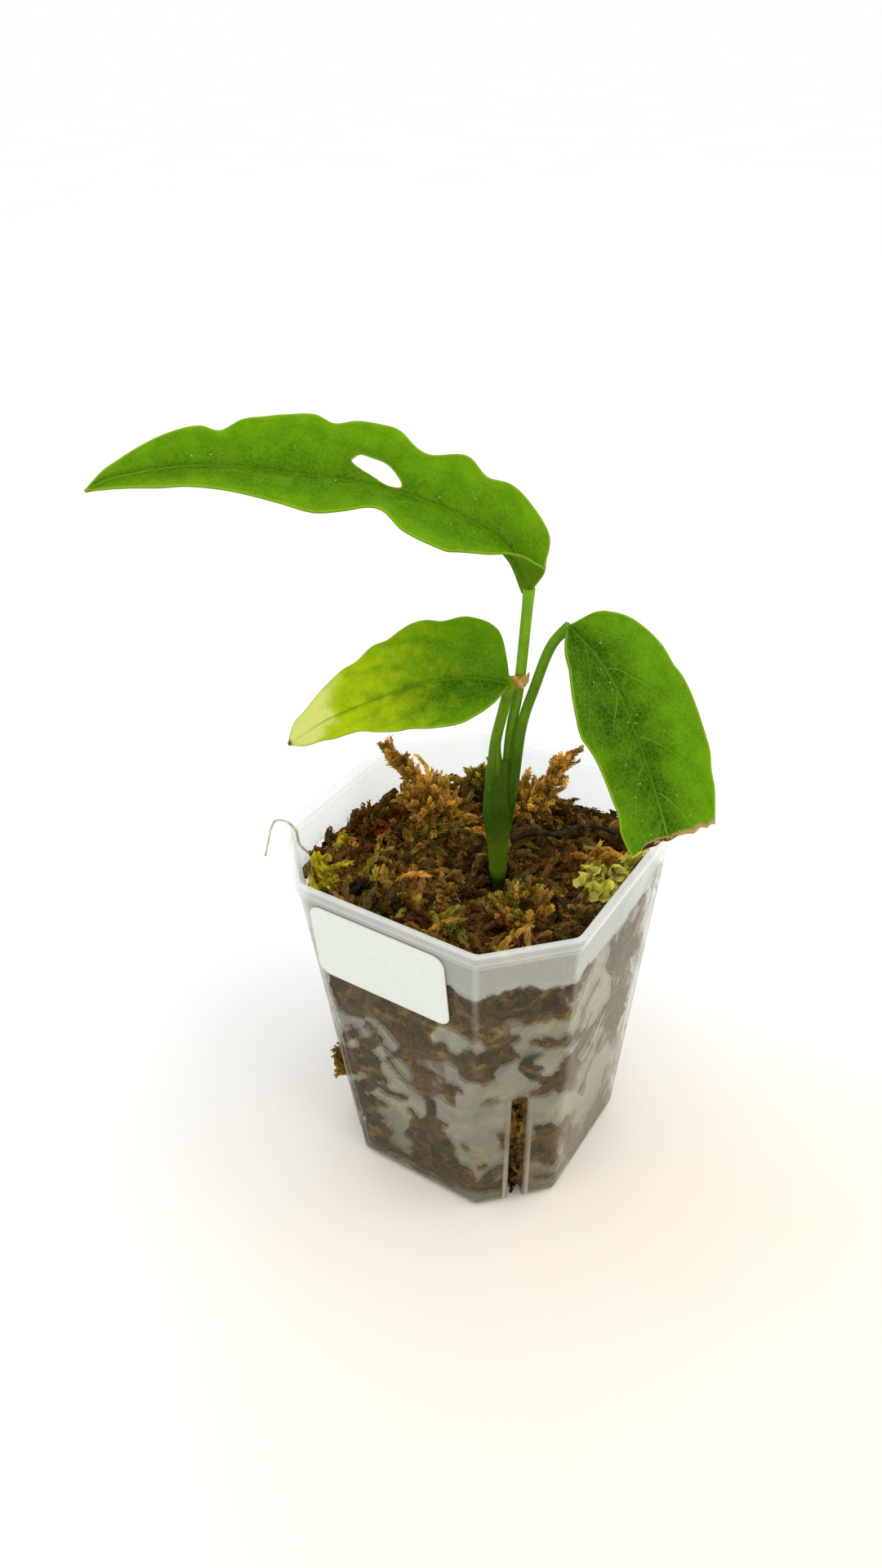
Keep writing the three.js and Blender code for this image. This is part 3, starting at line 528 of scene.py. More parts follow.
@dataclass(frozen=True)
class LeafFinish(Finish):
    """The upper and under side of a blade."""

    # the greens at the light and the dark ends of the painted fold shade and of the mottling
    light: Colour = srgb("679606")
    dark: Colour = srgb("376102")
    vein: Colour = srgb("7ba01c")
    margin: Colour = srgb("8fae2a")
    under: Colour = srgb("4f750c")
    yellow: Colour = srgb("a5b80c")
    cream: Colour = srgb("cacd70")
    brown: Colour = srgb("6b4a22")
    rib_light: float = 0.55  # how pale the midrib is
    vein_light: float = 0.2  # how pale the side veins are
    yellow_from: float = 2.0  # share of the length at which it turns yellow, over 1 for never
    yellow_full: float = 3.0
    cream_from: float = 3.0
    scars: float = 0.0  # how many pale scars it has
    dead: bool = False  # whether its far end is cut and dead

    def lay(self, g: Graph) -> dict:
        """Lays the veins, the change of colour along the blade, its scars, its under side, and painted shade
        in its fold, by its midrib and along its side veins.

        Args:
            g: The material's graph.

        Returns:
            What feeds the surface shader.
        """
        share, rib, rim, side = (g.value(name) for name in ("share", "rib", "rim", "side"))
        _, mask, fine = g.mottle({"Patches": 220.0, "Grain": 1300.0})
        phase = g.value("vein") + g.noise(60.0, 2.0) * 0.5
        offset = g.math("ABSOLUTE", g.math("FRACT", phase) - 0.5)
        aged = share + g.sway(260.0, 6.0, 0.75, rough=0.72) + g.ease(offset, 0.0, 0.3, -0.05, 0.03)
        old = g.ease(aged, self.yellow_from, self.yellow_full)
        pale = g.ease(share + g.sway(260.0, 5.0, 0.2) + side * 0.06, self.cream_from, self.cream_from + 0.1)
        lateral = g.ease(offset, 0.022, 0.007) * g.ease(rim, 0.6, 3.0)
        lateral = lateral * g.ease(g.noise(90.0, 2.0), 0.3, 0.5, 0.3)
        net = g.ease(g.cells(900.0, feature="DISTANCE_TO_EDGE"), 0.12, 0.03) * 0.2
        lines = g.math("MAXIMUM", lateral * self.vein_light, g.ease(rib, 0.32, 0.12) * self.rib_light)
        lines = g.math("MAXIMUM", lines, net) * (1.0 - pale * 0.8)
        # painted shade in the crease on both sides of the midrib
        groove_shade = g.ease(rib, 1.2, 0.4) * g.ease(rib, 0.22, 0.4)
        colour = g.layers(
            # the painted shade of the fold, with the mottling over it
            g.mix(g.value("tone") - (mask - 0.5) * 0.34, self.dark, self.light),
            # painted shade in the sunken bands along the side veins
            (g.ease(offset, 0.16, 0.0) * 0.15, self.dark),
            (old, self.yellow),
            (pale, self.cream),
            (groove_shade * (0.5 - old * 0.5), self.dark),
            (lines, self.vein),
            (g.ease(rim, 0.6, 0.1) * 0.5, self.margin),
        )
        if self.scars:
            distance, cell = g.cells(950.0, "Distance", "Color")
            lucky = g.ease(g.add("ShaderNodeSeparateColor", {0: cell}), 1.0 - self.scars, 1.01 - self.scars)
            spot = g.ease(distance, 0.17, 0.1) * lucky * g.ease(rib, 7.0, 3.0, 0.2)
            colour = g.mix(spot * 0.8, colour, srgb("ccd89a"))
        colour = g.layers(colour, (g.value("under") * 0.85, self.under), (g.value("scar"), srgb("7d5a24")))
        if self.cream_from < 1:
            colour = g.mix(g.ease(share, 0.975, 0.99), colour, self.brown)
        if self.dead:
            edge = share + g.sway(380.0, 5.0, 0.05) - g.ease(side, 0.6, 0.95, 0.0, 0.05)
            grain = g.ease(g.noise(700.0, 3.0) + side * 0.22, 0.6, 0.42)
            dry, crust = srgb("8f8148"), g.mix(grain, srgb("32200e"), srgb("a88c58"))
            colour = g.layers(colour, (g.ease(edge, 0.972, 0.982), dry), (g.ease(edge, 0.982, 0.989), crust))
        return {
            "Base Color": colour,
            "Roughness": g.ease(fine, 0.3, 0.7, 0.42, 0.54),
            "Normal": g.bump(fine * 0.25 + lines * -0.8, 0.00012, 0.6),
            "Specular IOR Level": 0.03,
            "Subsurface Weight": 0.1,
            "Subsurface Radius": (0.6, 1.0, 0.1),
            "Subsurface Scale": 0.0012,
        }


@dataclass(frozen=True)
class StalkFinish(Finish):
    """A smooth green stalk, from its foot to its top."""

    foot: Colour
    top: Colour
    streak: Colour = srgb("7f9c34")

    def lay(self, g: Graph) -> dict:
        """Lays fine streaks along the stalk.

        Args:
            g: The material's graph.

        Returns:
            What feeds the surface shader.
        """
        stretch = g.add("ShaderNodeMapping", {"Vector": g.place(), "Scale": (2200.0, 2200.0, 90.0)})
        streaks = g.noise(1.0, 2.0, stretch)
        light, dark = (1.0, 1.0, 1.0), (0.72, 0.76, 0.66)
        soft = g.mottle({"Light": light, "Dark": dark, "Patches": 160.0, "Grain": 1400.0})[0]
        colour = g.mix(g.value("share"), self.foot, self.top)
        colour = g.mix(g.ease(streaks, 0.52, 0.75, 0.0, 0.35), colour, self.streak)
        return {
            "Base Color": g.mix(1.0, colour, soft, "MULTIPLY"),
            "Roughness": g.ease(streaks, 0.3, 0.7, 0.42, 0.55),
            "Normal": g.bump(streaks, 0.00008, 0.5),
            "Specular IOR Level": 0.06,
            "Subsurface Weight": 0.15,
            "Subsurface Radius": (0.6, 1.0, 0.2),
            "Subsurface Scale": 0.0015,
        }


@dataclass(frozen=True)
class MossFinish(Finish):
    """Moss whose strands each have their own tint, with painted shade multiplied into it."""

    name: str = "moss"
    wet: float = 0.25
    thin: float = 0.38  # how much light goes through

    def lay(self, g: Graph) -> dict:
        """Lays a grain over the tints, and lets some light through.

        Args:
            g: The material's graph.

        Returns:
            What feeds the surface shader.
        """
        light, dark = (1.2, 1.17, 1.1), (0.62, 0.58, 0.5)
        shade, _, fine = g.mottle({"Light": light, "Dark": dark, "Patches": 330.0, "Grain": 2600.0})
        # the tint holds each strand's colour times its painted shade
        tint = g.add("ShaderNodeAttribute", {}, "Color", attribute_name="tint")
        colour = g.mix(1.0, tint, shade, "MULTIPLY")
        through = g.mix(1.0, colour, (1.32, 1.3, 0.8), "MULTIPLY")
        glow = g.add("ShaderNodeBsdfTranslucent", {"Color": through})
        surface = Value(g, g.tree.nodes["Principled BSDF"].outputs[0])
        both = g.add("ShaderNodeMixShader", {0: self.thin, 1: surface, 2: glow})
        g.feed(g.tree.nodes["Material Output"], {0: both})
        return {
            "Base Color": colour,
            "Roughness": g.ease(fine, 0.3, 0.7, 0.5, 0.78),
            "Normal": g.bump(fine, 0.0002, 0.5),
            "Specular IOR Level": self.wet,
        }


@dataclass(frozen=True)
class DryFinish(Finish):
    """A dry or woody surface: twig, root, strand or papery sheath."""

    light: Colour
    dark: Colour
    patches: float = 500.0

    def lay(self, g: Graph) -> dict:
        """Mottles the surface between its two colours.

        Args:
            g: The material's graph.

        Returns:
            What feeds the surface shader.
        """
        inputs = {"Light": self.light, "Dark": self.dark, "Patches": self.patches, "Grain": 3000.0}
        colour, mask, fine = g.mottle(inputs)
        roughness = g.ease(fine, 0.3, 0.7, 0.65, 0.85)
        normal = g.bump(mask, 0.00015, 0.7)
        return {"Base Color": colour, "Roughness": roughness, "Normal": normal, "Specular IOR Level": 0.15}


@dataclass(frozen=True)
class ClearPlastic(Finish):
    """The pot's clear wall: nearly clear where wet moss touches it, misted where it doesn't."""

    name: str = "clear_wall"
    mist: Colour = srgb("b2b29e")
    haze: Colour = srgb("a6a698")  # the mist in other places
    low: Colour = srgb("827a58")  # the mist towards the base
    wet: Colour = srgb("8e826a")
    clear: Colour = srgb("eef2ee")
    misted: float = 0.25  # how opaque each surface is
    wetted: float = 0.07
    bare: float = 0.2
    steamed: float = 0.5  # the bare wall on the side that is looked at
    thick: float = 0.36

    def lay(self, g: Graph) -> dict:
        """Lays mist, wet patches, droplets, and painted highlights on the ridges and on the edges of the
        slit frames.

        Args:
            g: The material's graph.

        Returns:
            What feeds the surface shader.
        """
        names = ("touch", "above", "thick", "dewy", "fore", "foot", "ridge", "low")
        touch, above, thick, dewy, fore, foot, ridge, low = (g.value(name) for name in names)
        wet = g.ease(touch + g.sway(650.0, 4.0, 0.5), 0.36, 0.6)
        above = g.ease(above + g.sway(260.0, 4.0, 1.1), 0.35, 0.65)
        cloud = g.noise(110.0, 3.0)
        drop = g.ease(g.cells(560.0, "Distance"), 0.34, 0.2) * dewy
        opacity = g.blend(wet, g.ease(cloud, 0.3, 0.7, self.misted * 0.8, self.misted * 1.2), self.wetted)
        opacity = g.blend(above, opacity, g.blend(fore, self.bare, self.steamed))
        opacity = g.blend(foot, g.blend(thick, opacity, g.blend(fore, self.bare, self.thick)), 0.65)
        # a slanting look goes through more of the wall
        facing = g.add("ShaderNodeLayerWeight", {"Blend": 0.5}, "Facing")
        slant = g.math("DIVIDE", 0.7, g.math("MAXIMUM", 1.0 - facing, 0.25))
        opacity = 1.0 - g.math("POWER", 1.0 - (opacity + drop * 0.1), slant)
        brink = g.ease(facing, 0.7, 0.92) * (1.0 - above)
        patches = g.ease(g.noise(75.0, 2.0), 0.42, 0.6)
        mist = g.layers(self.mist, (patches, self.haze), (low * 0.75, self.low))
        wall = g.mix(above, g.mix(wet, mist, self.wet), g.mix(fore, srgb("e2ece4"), srgb("b2b4ac")))
        colour = g.layers(
            wall,
            (thick, g.mix(fore, (1.0, 1.0, 1.0), self.clear)),
            (foot, srgb("7c7058")), (brink, srgb("a69f8f")), (ridge, srgb("f4f4ee")),
        )
        return {
            "Base Color": colour,
            # the painted highlights are also more opaque
            "Alpha": g.blend(ridge, g.blend(brink, opacity, 0.6), 0.7),
            "Roughness": g.ease(cloud, 0.3, 0.7, 0.2, 0.32),
            "Normal": g.bump(drop * 0.6 + cloud * 0.4, 0.0004, 0.35),
        }


@dataclass(frozen=True)
class StickerFinish(Finish):
    """The bare white sticker, a little warm at its rim."""

    name: str = "sticker_paper"

    def lay(self, g: Graph) -> dict:
        """Lays a paper's fibre.

        Args:
            g: The material's graph.

        Returns:
            What feeds the surface shader.
        """
        fibre = g.noise(900.0, 4.0)
        colour = g.mix(g.ease(fibre, 0.3, 0.7), srgb("dbe2db"), srgb("d5ddd5"))
        colour = g.mix(g.ease(g.value("rim"), 0.7, 0.1) * 0.4, colour, srgb("ddd2b4"))
        roughness = g.ease(fibre, 0.3, 0.7, 0.38, 0.5)
        return {"Base Color": colour, "Roughness": roughness, "Normal": g.bump(fibre, 0.00003, 0.4)}


@dataclass(frozen=True)
class FloorFinish(Finish):
    """The plain pale floor, a little warmer towards the camera."""

    name: str = "pale_floor"

    def lay(self, g: Graph) -> dict:
        """Lays the warm part, which eases off to all sides.

        Args:
            g: The material's graph.

        Returns:
            What feeds the surface shader.
        """
        turned = g.add("ShaderNodeMapping", {"Vector": g.place(), "Rotation": (0.0, 0.0, -VIEW)})
        across, along = g.add("ShaderNodeSeparateXYZ", {0: turned}, "X", "Y")
        warm = g.ease(along, 0.08, -0.05) * g.ease(across, -0.13, 0.0, 0.25)
        warm = warm * (g.ease(along, -0.9, -0.3) * g.ease(across, 0.8, 0.3))
        colour = g.layers(
            srgb("fdfefe"),
            (warm, srgb("f5ebdc")),
            (g.ease(along, 0.2, 1.0), (1.0, 1.0, 1.0)),
            (g.ease(g.noise(6.0, 3.0), 0.3, 0.7, 0.0, 0.3), srgb("f8f5ee")),
        )
        return {"Base Color": colour, "Roughness": 0.85, "Specular IOR Level": 0.1}


def dress(piece: Piece, finish: Finish, node: str, angle: float = 60) -> None:
    """Finishes a piece and sets it in the frame in place of its solid.

    Args:
        piece: The piece.
        finish: Its finish.
        node: The solid that it replaces.
        angle: The sharpest edge that is shaded smooth, in degrees.
    """
    piece.data.materials.clear()
    piece.data.materials.append(finish.make())
    choose(piece)
    bpy.ops.object.shade_smooth_by_angle(angle=math.radians(angle))
    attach(piece, "root")
    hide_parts(node)
    LOG.info("%s: %d faces, stands for %s", piece.name, len(piece.data.polygons), node)


# The pot


@dataclass
class Pot:
    """The clear square pot with cut corners, a lip, and a drain slit in each corner."""

    base_half: float = 31.5
    top_half: float = 39.0
    height: float = 95.0
    base_cut: float = 14.5  # what a cut corner takes off a side
    top_cut: float = 16.0
    corner_radius: float = 3.0
    wall: float = 0.9
    floor: float = 1.2
    lip: float = 1.0  # how far the lip stands out
    lip_height: float = 2.4
    step_height: float = 1.4  # of the low step beneath the lip
    foot: float = 2.0  # radius of the rounded edge at the base
    slit_width: float = 4.2
    slit_top: float = 44.0
    slit_frame: float = 1.2
    slit_proud: float = 0.45  # how far a slit's frame stands out
    moss_line: float = 81.5  # how high the moss reaches on the front walls

    @property
    def top(self) -> float:
        """Gives the height at which the lip starts."""
        return self.height - self.lip_height

    def half(self, z: Array) -> Array:
        """Gives half the width across flats at a height."""
        return self.base_half + (self.top_half - self.base_half) * np.asarray(z) / self.top

    def cut_length(self, z: Array) -> Array:
        """Gives the length that a cut corner takes off a side at a height."""
        return self.base_cut + (self.top_cut - self.base_cut) * np.asarray(z) / self.height

    def corner(self, z: Array) -> Array:
        """Gives the distance of a cut corner's wall from the middle."""
        return (self.half(z) - self.cut_length(z) / 2) * math.sqrt(2)

    def reach(self, angle: Array, z: Array, inset: Array) -> Array:
        """Gives the distance from the middle to the wall in a direction.

        Args:
            angle: The direction, in radians.
            z: The height.
            inset: How far inside the wall's face to stop.

        Returns:
            The distance.
        """
        across, up = np.abs(np.cos(angle)), np.abs(np.sin(angle))
        flat = (self.half(z) - inset) / np.maximum(across, up)
        return np.minimum(flat, (self.corner(z) - inset) * math.sqrt(2) / (across + up))

    def inside(self, angle: Array, z: Array, inset: Array) -> Array:
        """Gives the points inside the wall, by an inset, in directions and at heights."""
        return around(angle, self.reach(angle, z, inset), z)

    def outline(self, z: float, out: float) -> Array:
        """Gives the pot's outline at a height.

        Args:
            z: The height.
            out: How far outside the wall's face it runs.

        Returns:
            Points all the way round.
        """
        half = self.half(z) + out
        side = half - self.cut_length(z) - (2 - math.sqrt(2)) * out
        corners = []
        for quarter in range(4):
            c, s = math.cos(quarter * math.pi / 2), math.sin(quarter * math.pi / 2)
            corners += [
                [half * c + side * s, half * s - side * c],
                [half * c - side * s, half * s + side * c],
            ]
        corners = np.array(corners)
        tangent = self.corner_radius * math.tan(math.pi / 8)
        points = []
        for corner, last, after in zip(corners, np.roll(corners, 1, axis=0), np.roll(corners, -1, axis=0)):
            start, end = corner + unit(last - corner) * tangent, corner + unit(after - corner) * tangent
            for s in np.linspace(0, 1, 6):
                points.append((1 - s) ** 2 * start + 2 * s * (1 - s) * corner + s**2 * end)
            far = after + unit(corner - after) * tangent
            points += [end + (far - end) * s for s in np.linspace(0, 1, 31, endpoint=False)[1:]]
        return np.column_stack([points, np.full(len(points), z)])

    def corner_frame(self, corner: int) -> Matrix:
        """Gives the frame of a cut corner's wall: X along it, Y up its slope, Z out of it.

        Args:
            corner: The corner's number.

        Returns:
            The frame, in metres.
        """
        angle = math.pi / 4 + corner * math.pi / 2
        lean = math.atan(float(self.corner(self.top) - self.corner(0)) / self.top)
        out = Vector((math.cos(angle), math.sin(angle), 0))
        up = out * math.sin(lean) + Vector((0, 0, math.cos(lean)))
        face = out * math.cos(lean) - Vector((0, 0, math.sin(lean)))
        turn = Matrix((up.cross(face), up, face)).transposed().to_4x4()
        return Matrix.Translation(out * float(self.corner(0)) * MM) @ turn

    def arch(self, width: float, low: float, high: float, back: float, front: float) -> Piece:
        """Makes a plate with a round top, lying in a wall's frame.

        Args:
            width: Its width.
            low: Where it starts up the wall.
            high: Where it ends.
            back: Its back face, from the wall's face.
            front: Its front face.

        Returns:
            The plate.
        """
        middle = (0, (low + high) / 2 * MM, (back + front) / 2 * MM)
        size = (width * MM, (high - low) * MM, (front - back) * MM)
        plate = added(bpy.ops.mesh.primitive_cube_add, size=1, location=middle, scale=size)
        bpy.ops.object.transform_apply(location=True, rotation=True, scale=True)
        bpy.ops.object.mode_set(mode="EDIT")
        bpy.ops.mesh.select_mode(type="EDGE")
        bpy.ops.mesh.select_all(action="DESELECT")
        bpy.ops.object.mode_set(mode="OBJECT")
        for edge in plate.data.edges:
            ends = [plate.data.vertices[v].co for v in edge.vertices]
            at_top = all(abs(end.y - high * MM) < 1e-6 for end in ends)
            edge.select = at_top and abs(ends[0].x - ends[1].x) < 1e-6
        bpy.ops.object.mode_set(mode="EDIT")
        bpy.ops.mesh.bevel(offset=width / 3 * MM, segments=8)
        bpy.ops.object.mode_set(mode="OBJECT")
        return plate

    def make(self, moss: "MossBed") -> None:
        """Builds the pot.

        Args:
            moss: The moss in it, which says where its wall is wet.
        """
        top, rim, wall, foot, floor = self.top, self.height, self.wall, self.foot, self.floor
        inward, rows = 6, 104
        profile = [
            (0.0, -foot - inward), (0.0, -foot),
            *((foot * (1 - math.cos(a)), foot * (math.sin(a) - 1)) for a in (0.5, 1.1)),
            *((z, 0.0) for z in np.linspace(foot, top - self.step_height, rows)),
            (top - self.step_height + 0.35, 0.3), (top - 0.1, 0.3), (top + 0.35, self.lip - 0.2),
            (rim - 0.5, self.lip - 0.2), (rim - 0.12, self.lip - 0.4), (rim, 0.2),
            (rim, -wall + 0.5), (rim - 0.15, -wall + 0.12), (rim - 0.5, -wall),
            *((z, -wall) for z in np.linspace(rim - 2, floor + foot, rows)),
            (floor + foot * 0.3, -wall - foot * 0.3), (floor, -wall - foot), (floor, -wall - foot - inward),
        ]
        pot = lofted("pot_shell", capped([self.outline(z, out) for z, out in profile]))
        frames = []
        wide = self.slit_width + 2 * self.slit_frame
        for corner in range(4):
            cutter = self.arch(self.slit_width, -4, self.slit_top, -6, 6)
            cutter.data.transform(self.corner_frame(corner))
            cut(pot, cutter)
            rib = self.arch(wide, foot, self.slit_top + self.slit_frame, -wall * 0.8, self.slit_proud)
            cut(rib, self.arch(self.slit_width, -6, self.slit_top, -9, 9))
            modify(rib, "BEVEL", width=0.00016, segments=2, limit_method="ANGLE")
            x, y, z = read(rib).T
            outer = smoothstep(np.abs(x), wide / 2 - 0.4, wide / 2 - 0.1)
            # the outer edges of the frame get a painted highlight
            paint(rib, side=outer * smoothstep(y, 38, 30) * (z > 0.1), solid=1)
            rib.data.transform(self.corner_frame(corner))
            frames.append(rib)
        paint(pot, side=0, solid=0)
        join(pot, *frames)
        self.mark_wet_and_highlights(pot, moss)
        dress(pot, ClearPlastic(), "pot", angle=35)

    def mark_wet_and_highlights(self, pot: Piece, moss: "MossBed") -> None:
        """Marks where moss wets the wall, where the wall is bare above it, where it is thick, and where it
        gets painted highlights.

        Args:
            pot: The pot.
            moss: The moss in it.
        """
        points = read(pot)
        x, y, z = points.T
        angle, solid = np.arctan2(y, x), painted(pot, "solid")
        level = moss.height(*self.inside(angle, z, self.wall + moss.gap).T[:2])
        inner = self.inside(angle, z, moss.laid)
        roots, tips, bends, thick = moss.at_wall
        steps = np.linspace(0, 1, 9)
        tree = KDTree(len(roots) * len(steps))
        for i, (start, end, bend) in enumerate(zip(roots, tips, bends)):
            for t in steps:
                tree.insert(start + (end - start) * t + bend * 2 * t * (1 - t), i)
        tree.balance()
        gap = np.array([hit[2] - thick[hit[1]] * 0.4 for hit in map(tree.find, inner)])
        line = smooth_path(moss.wall_root[3:], 60)
        off = np.linalg.norm(inner[:, None] - line, axis=2).min(axis=1)
        broad = smoothstep(moss.pressed(x, y, z), 0.4, 0.6)
        touch = 0.6 * smoothstep(gap, 0.9, -0.1) + 0.5 * broad + 0.5 * solid
        fore = smoothstep(points @ FRONT, 5, 24)
        ragged = 5 * (noise(x / 5, y / 5, 2.0) - 0.5)
        # painted highlights: thin pale lines on the corners and the ridges of the lip, where they would
        # catch the light
        half = self.half(z)
        sides = np.stack([half, half - self.cut_length(z)], axis=1)[:, None]
        sides = sides * list(product((1, -1), repeat=2))
        corners = np.concatenate([sides, sides[..., ::-1]], axis=1) * 0.99
        edge = np.linalg.norm(corners - points[:, None, :2], axis=2).min(axis=1)
        lip = np.min(np.abs(z[:, None] - [94.95, 92.5, 91.2]) - [0.12, 0.1, 0.05], axis=1)
        corner_highlight = 0.3 * smoothstep(edge, 1.0, 0.4) * smoothstep(z, 45, 88)
        painted_highlight = np.maximum(corner_highlight, 0.5 * smoothstep(lip, 0.3, 0.0))
        outside = np.hypot(x, y) > self.reach(angle, z, 0.4)
        paint(
            pot,
            touch=touch + 0.2 * smoothstep(z, 60, 12) + 0.7 * smoothstep(off, 1.7, 0.9),
            fore=fore,
            foot=smoothstep(z, 3.2, 1.4),
            low=smoothstep(z, 40, 4),
            above=smoothstep(z - level + (level - self.moss_line + ragged) * fore, -3.0, 3.0),
            thick=smoothstep(z, self.height - 2.8, self.height - 2.3),
            ridge=outside * painted_highlight * fore * (1 - solid) + 0.4 * painted(pot, "side"),
            dewy=smoothstep(z - level, -6.0, -3.0) * smoothstep(z - level, 3.0, 0.5),
        )


@dataclass
class Sticker:
    """The bare white label on the wall that faces -Y."""

    pot: Pot
    width: float = 35.6
    height: float = 21.4
    corner: float = 3.0
    thick: float = 0.35
    gap: float = 0.15
    x: float = -2.7
    up: float = 80.0  # how far up the wall its middle is

    def make(self) -> None:
        """Builds the sticker from a grid whose corners are pulled in to quarter circles."""
        piece = added(bpy.ops.mesh.primitive_grid_add, x_subdivisions=40, y_subdivisions=26, size=1)
        piece.name = "label_sticker"
        half = np.array([self.width, self.height]) / 2
        inner = half - self.corner
        flat = read(piece, 2)[:, :2] * half
        over = np.maximum(np.abs(flat) - inner, 0)
        both = (over > 0).all(axis=1)[:, None]
        over = np.where(both, unit(over) * over.max(axis=1, keepdims=True), over)
        flat = np.sign(flat) * (np.minimum(np.abs(flat), inner) + over)
        arc = self.corner - np.linalg.norm(over, axis=1, keepdims=True)
        rim = np.where(both, arc, half - np.abs(flat)).min(axis=1)
        lean = math.atan(float(self.pot.half(self.pot.top) - self.pot.half(0)) / self.pot.top)
        up, out = np.array([[0, -math.sin(lean), math.cos(lean)], [0, -math.cos(lean), -math.sin(lean)]])
        foot = np.array([self.x, -float(self.pot.half(0)), 0]) + (self.gap + self.thick / 2) * out
        points = foot + flat[:, :1] * [1, 0, 0] + (flat[:, 1:] + self.up) * up
        piece.data.vertices.foreach_set("co", (points * MM).ravel())
        piece.data.update()
        paint(piece, rim=rim)
        modify(piece, "SOLIDIFY", thickness=self.thick * MM, offset=0)
        modify(piece, "BEVEL", width=0.00008, segments=2, limit_method="ANGLE")
        dress(piece, StickerFinish(), "label", angle=40)


# The moss


class Tint(Enum):
    """The colours that the moss has gone."""

    DARK = srgb("2c1e0c")
    BROWN = srgb("705222")
    RUST = srgb("84481c")
    AMBER = srgb("a27c36")
    HONEY = srgb("b89246")
    GOLD = srgb("b4943a")
    STRAW = srgb("dcb658")
    OLIVE = srgb("8e8230")
    PALE = srgb("ccc862")
    LIME = srgb("c8bc2c")


def colours_of(tints: tuple[Tint, ...]) -> Array:
    """Gives the colours of tints, in rows."""
    return np.array([tint.value for tint in tints])


@dataclass
class Strand:
    """One sprig of moss, modelled straight and once: a thin core in a spiral of folded leaflets."""

    leaflets: int = 30
    length: float = 0.24  # of a leaflet, as a share of the sprig's length
    spread: float = 0.8  # how far the leaflets stand out
    core: float = 0.22
    broad: float = 1.1  # how wide a leaflet is
    sections: int = 6
    twist: float = 2.39996  # from one leaflet to the next
    blade: Places = (
        (0, 0, 0), (0.34, 0.3, -0.12), (0.4, 0.68, -0.12),
        (0, 1, 0.1), (-0.4, 0.68, -0.12), (-0.34, 0.3, -0.12),
    )

    def make(self) -> Sprig:
        """Builds the sprig along +Z, 1 long and about 1 in radius.

        Returns:
            Its points, its faces and how far out on a leaflet each point is.
        """
        sizes = {"vertices": 3, "radius": self.core, "depth": 1, "location": (0, 0, 0.5)}
        stem = added(bpy.ops.mesh.primitive_cylinder_add, end_fill_type="NOTHING", **sizes)
        bpy.ops.object.transform_apply(location=True, rotation=False, scale=False)
        bpy.ops.object.mode_set(mode="EDIT")
        bpy.ops.mesh.select_all(action="SELECT")
        for section in range(1, self.sections):
            bpy.ops.mesh.bisect(plane_co=(0, 0, section / self.sections), plane_no=(0, 0, 1))
            bpy.ops.mesh.select_all(action="SELECT")
        bpy.ops.object.mode_set(mode="OBJECT")
        points = read(stem, 1)
        points[:, :2] *= 1 - 0.7 * points[:, 2:]
        sides = np.array([list(face.vertices) for face in stem.data.polygons])
        bpy.data.objects.remove(stem)
        number = np.arange(self.leaflets)[:, None]
        share, turn = (number + 0.5) / self.leaflets, number * self.twist
        draws = np.random.default_rng(5).uniform((0.5, 0.55), (1.4, 1.2), (self.leaflets, 2))
        size = self.length * (1.15 - 0.45 * share) * draws[:, :1]
        tilt = self.spread * (1.0 - 0.25 * share) * draws[:, 1:]
        x, y, z = np.array(self.blade).T
        out = self.core * 0.5 * (1 - 0.7 * share) + y * tilt * (1.25 - 0.4 * share) - z * 0.3
        leaflets = around(turn, out, share * 0.97 + y * size)
        leaflets = leaflets + around(turn + TURN / 4, x * self.broad * (1.1 - 0.5 * share), 0)
        folded = len(points) + len(x) * number[..., None] + [[0, 1, 2, 3], [0, 3, 4, 5]]
        far = np.concatenate([np.zeros(len(points)), np.tile(y, self.leaflets)])
        return np.vstack([points, leaflets.reshape(-1, 3)]), np.vstack([sides, folded.reshape(-1, 4)]), far


def bend_copies(sprig: Sprig, strands: tuple[Array, ...], spins: Array) -> tuple[Array, Array]:
    """Bends copies of a straight sprig along curves.

    Args:
        sprig: The sprig.
        strands: Where each copy starts and ends, how far its middle is pushed aside, and its thickness.
        spins: How far each one is turned about itself.

    Returns:
        The points of all the copies, and their faces.
    """
    points, faces, _ = sprig
    roots, tips, bends, thick = strands
    t = np.clip(points[:, 2], 0, 1.08)[None, :, None]
    a, c = roots[:, None], tips[:, None]
    b = (a + c) / 2 + bends[:, None]
    middle = (1 - t) ** 2 * a + 2 * t * (1 - t) * b + t**2 * c
    way = unit(2 * (1 - t) * (b - a) + 2 * t * (c - b))
    normal = unit(np.cross(tips - roots, [0.31, 0.52, 0.79]))[:, None]
    normal = unit(normal - way * (normal * way).sum(-1, keepdims=True))
    cos, sin = np.cos(spins)[:, None], np.sin(spins)[:, None]
    x = (points[:, 0] * cos - points[:, 1] * sin)[..., None]
    y = (points[:, 0] * sin + points[:, 1] * cos)[..., None]
    placed = middle + (thick / 2)[:, None, None] * (x * normal + y * np.cross(way, normal))
    every = faces + (np.arange(len(roots)) * len(points))[:, None, None]
    return placed.reshape(-1, 3), every.reshape(-1, faces.shape[1])


def gap_to(line: Array, ends: tuple[Array, ...], ahead: float) -> Array:
    """Gives how near strands come to a line, or to hiding it.

    Args:
        line: Points along the line, seen from above.
        ends: Points of the strands.
        ahead: How far in front of the line a strand still hides it.

    Returns:
        The distance for each strand.
    """
    spots = [end[:, None, :2] - FRONT[:2] * step for end in ends for step in (0, ahead)]
    return np.min([np.linalg.norm(spot - line, axis=2).min(axis=1) for spot in spots], axis=0)


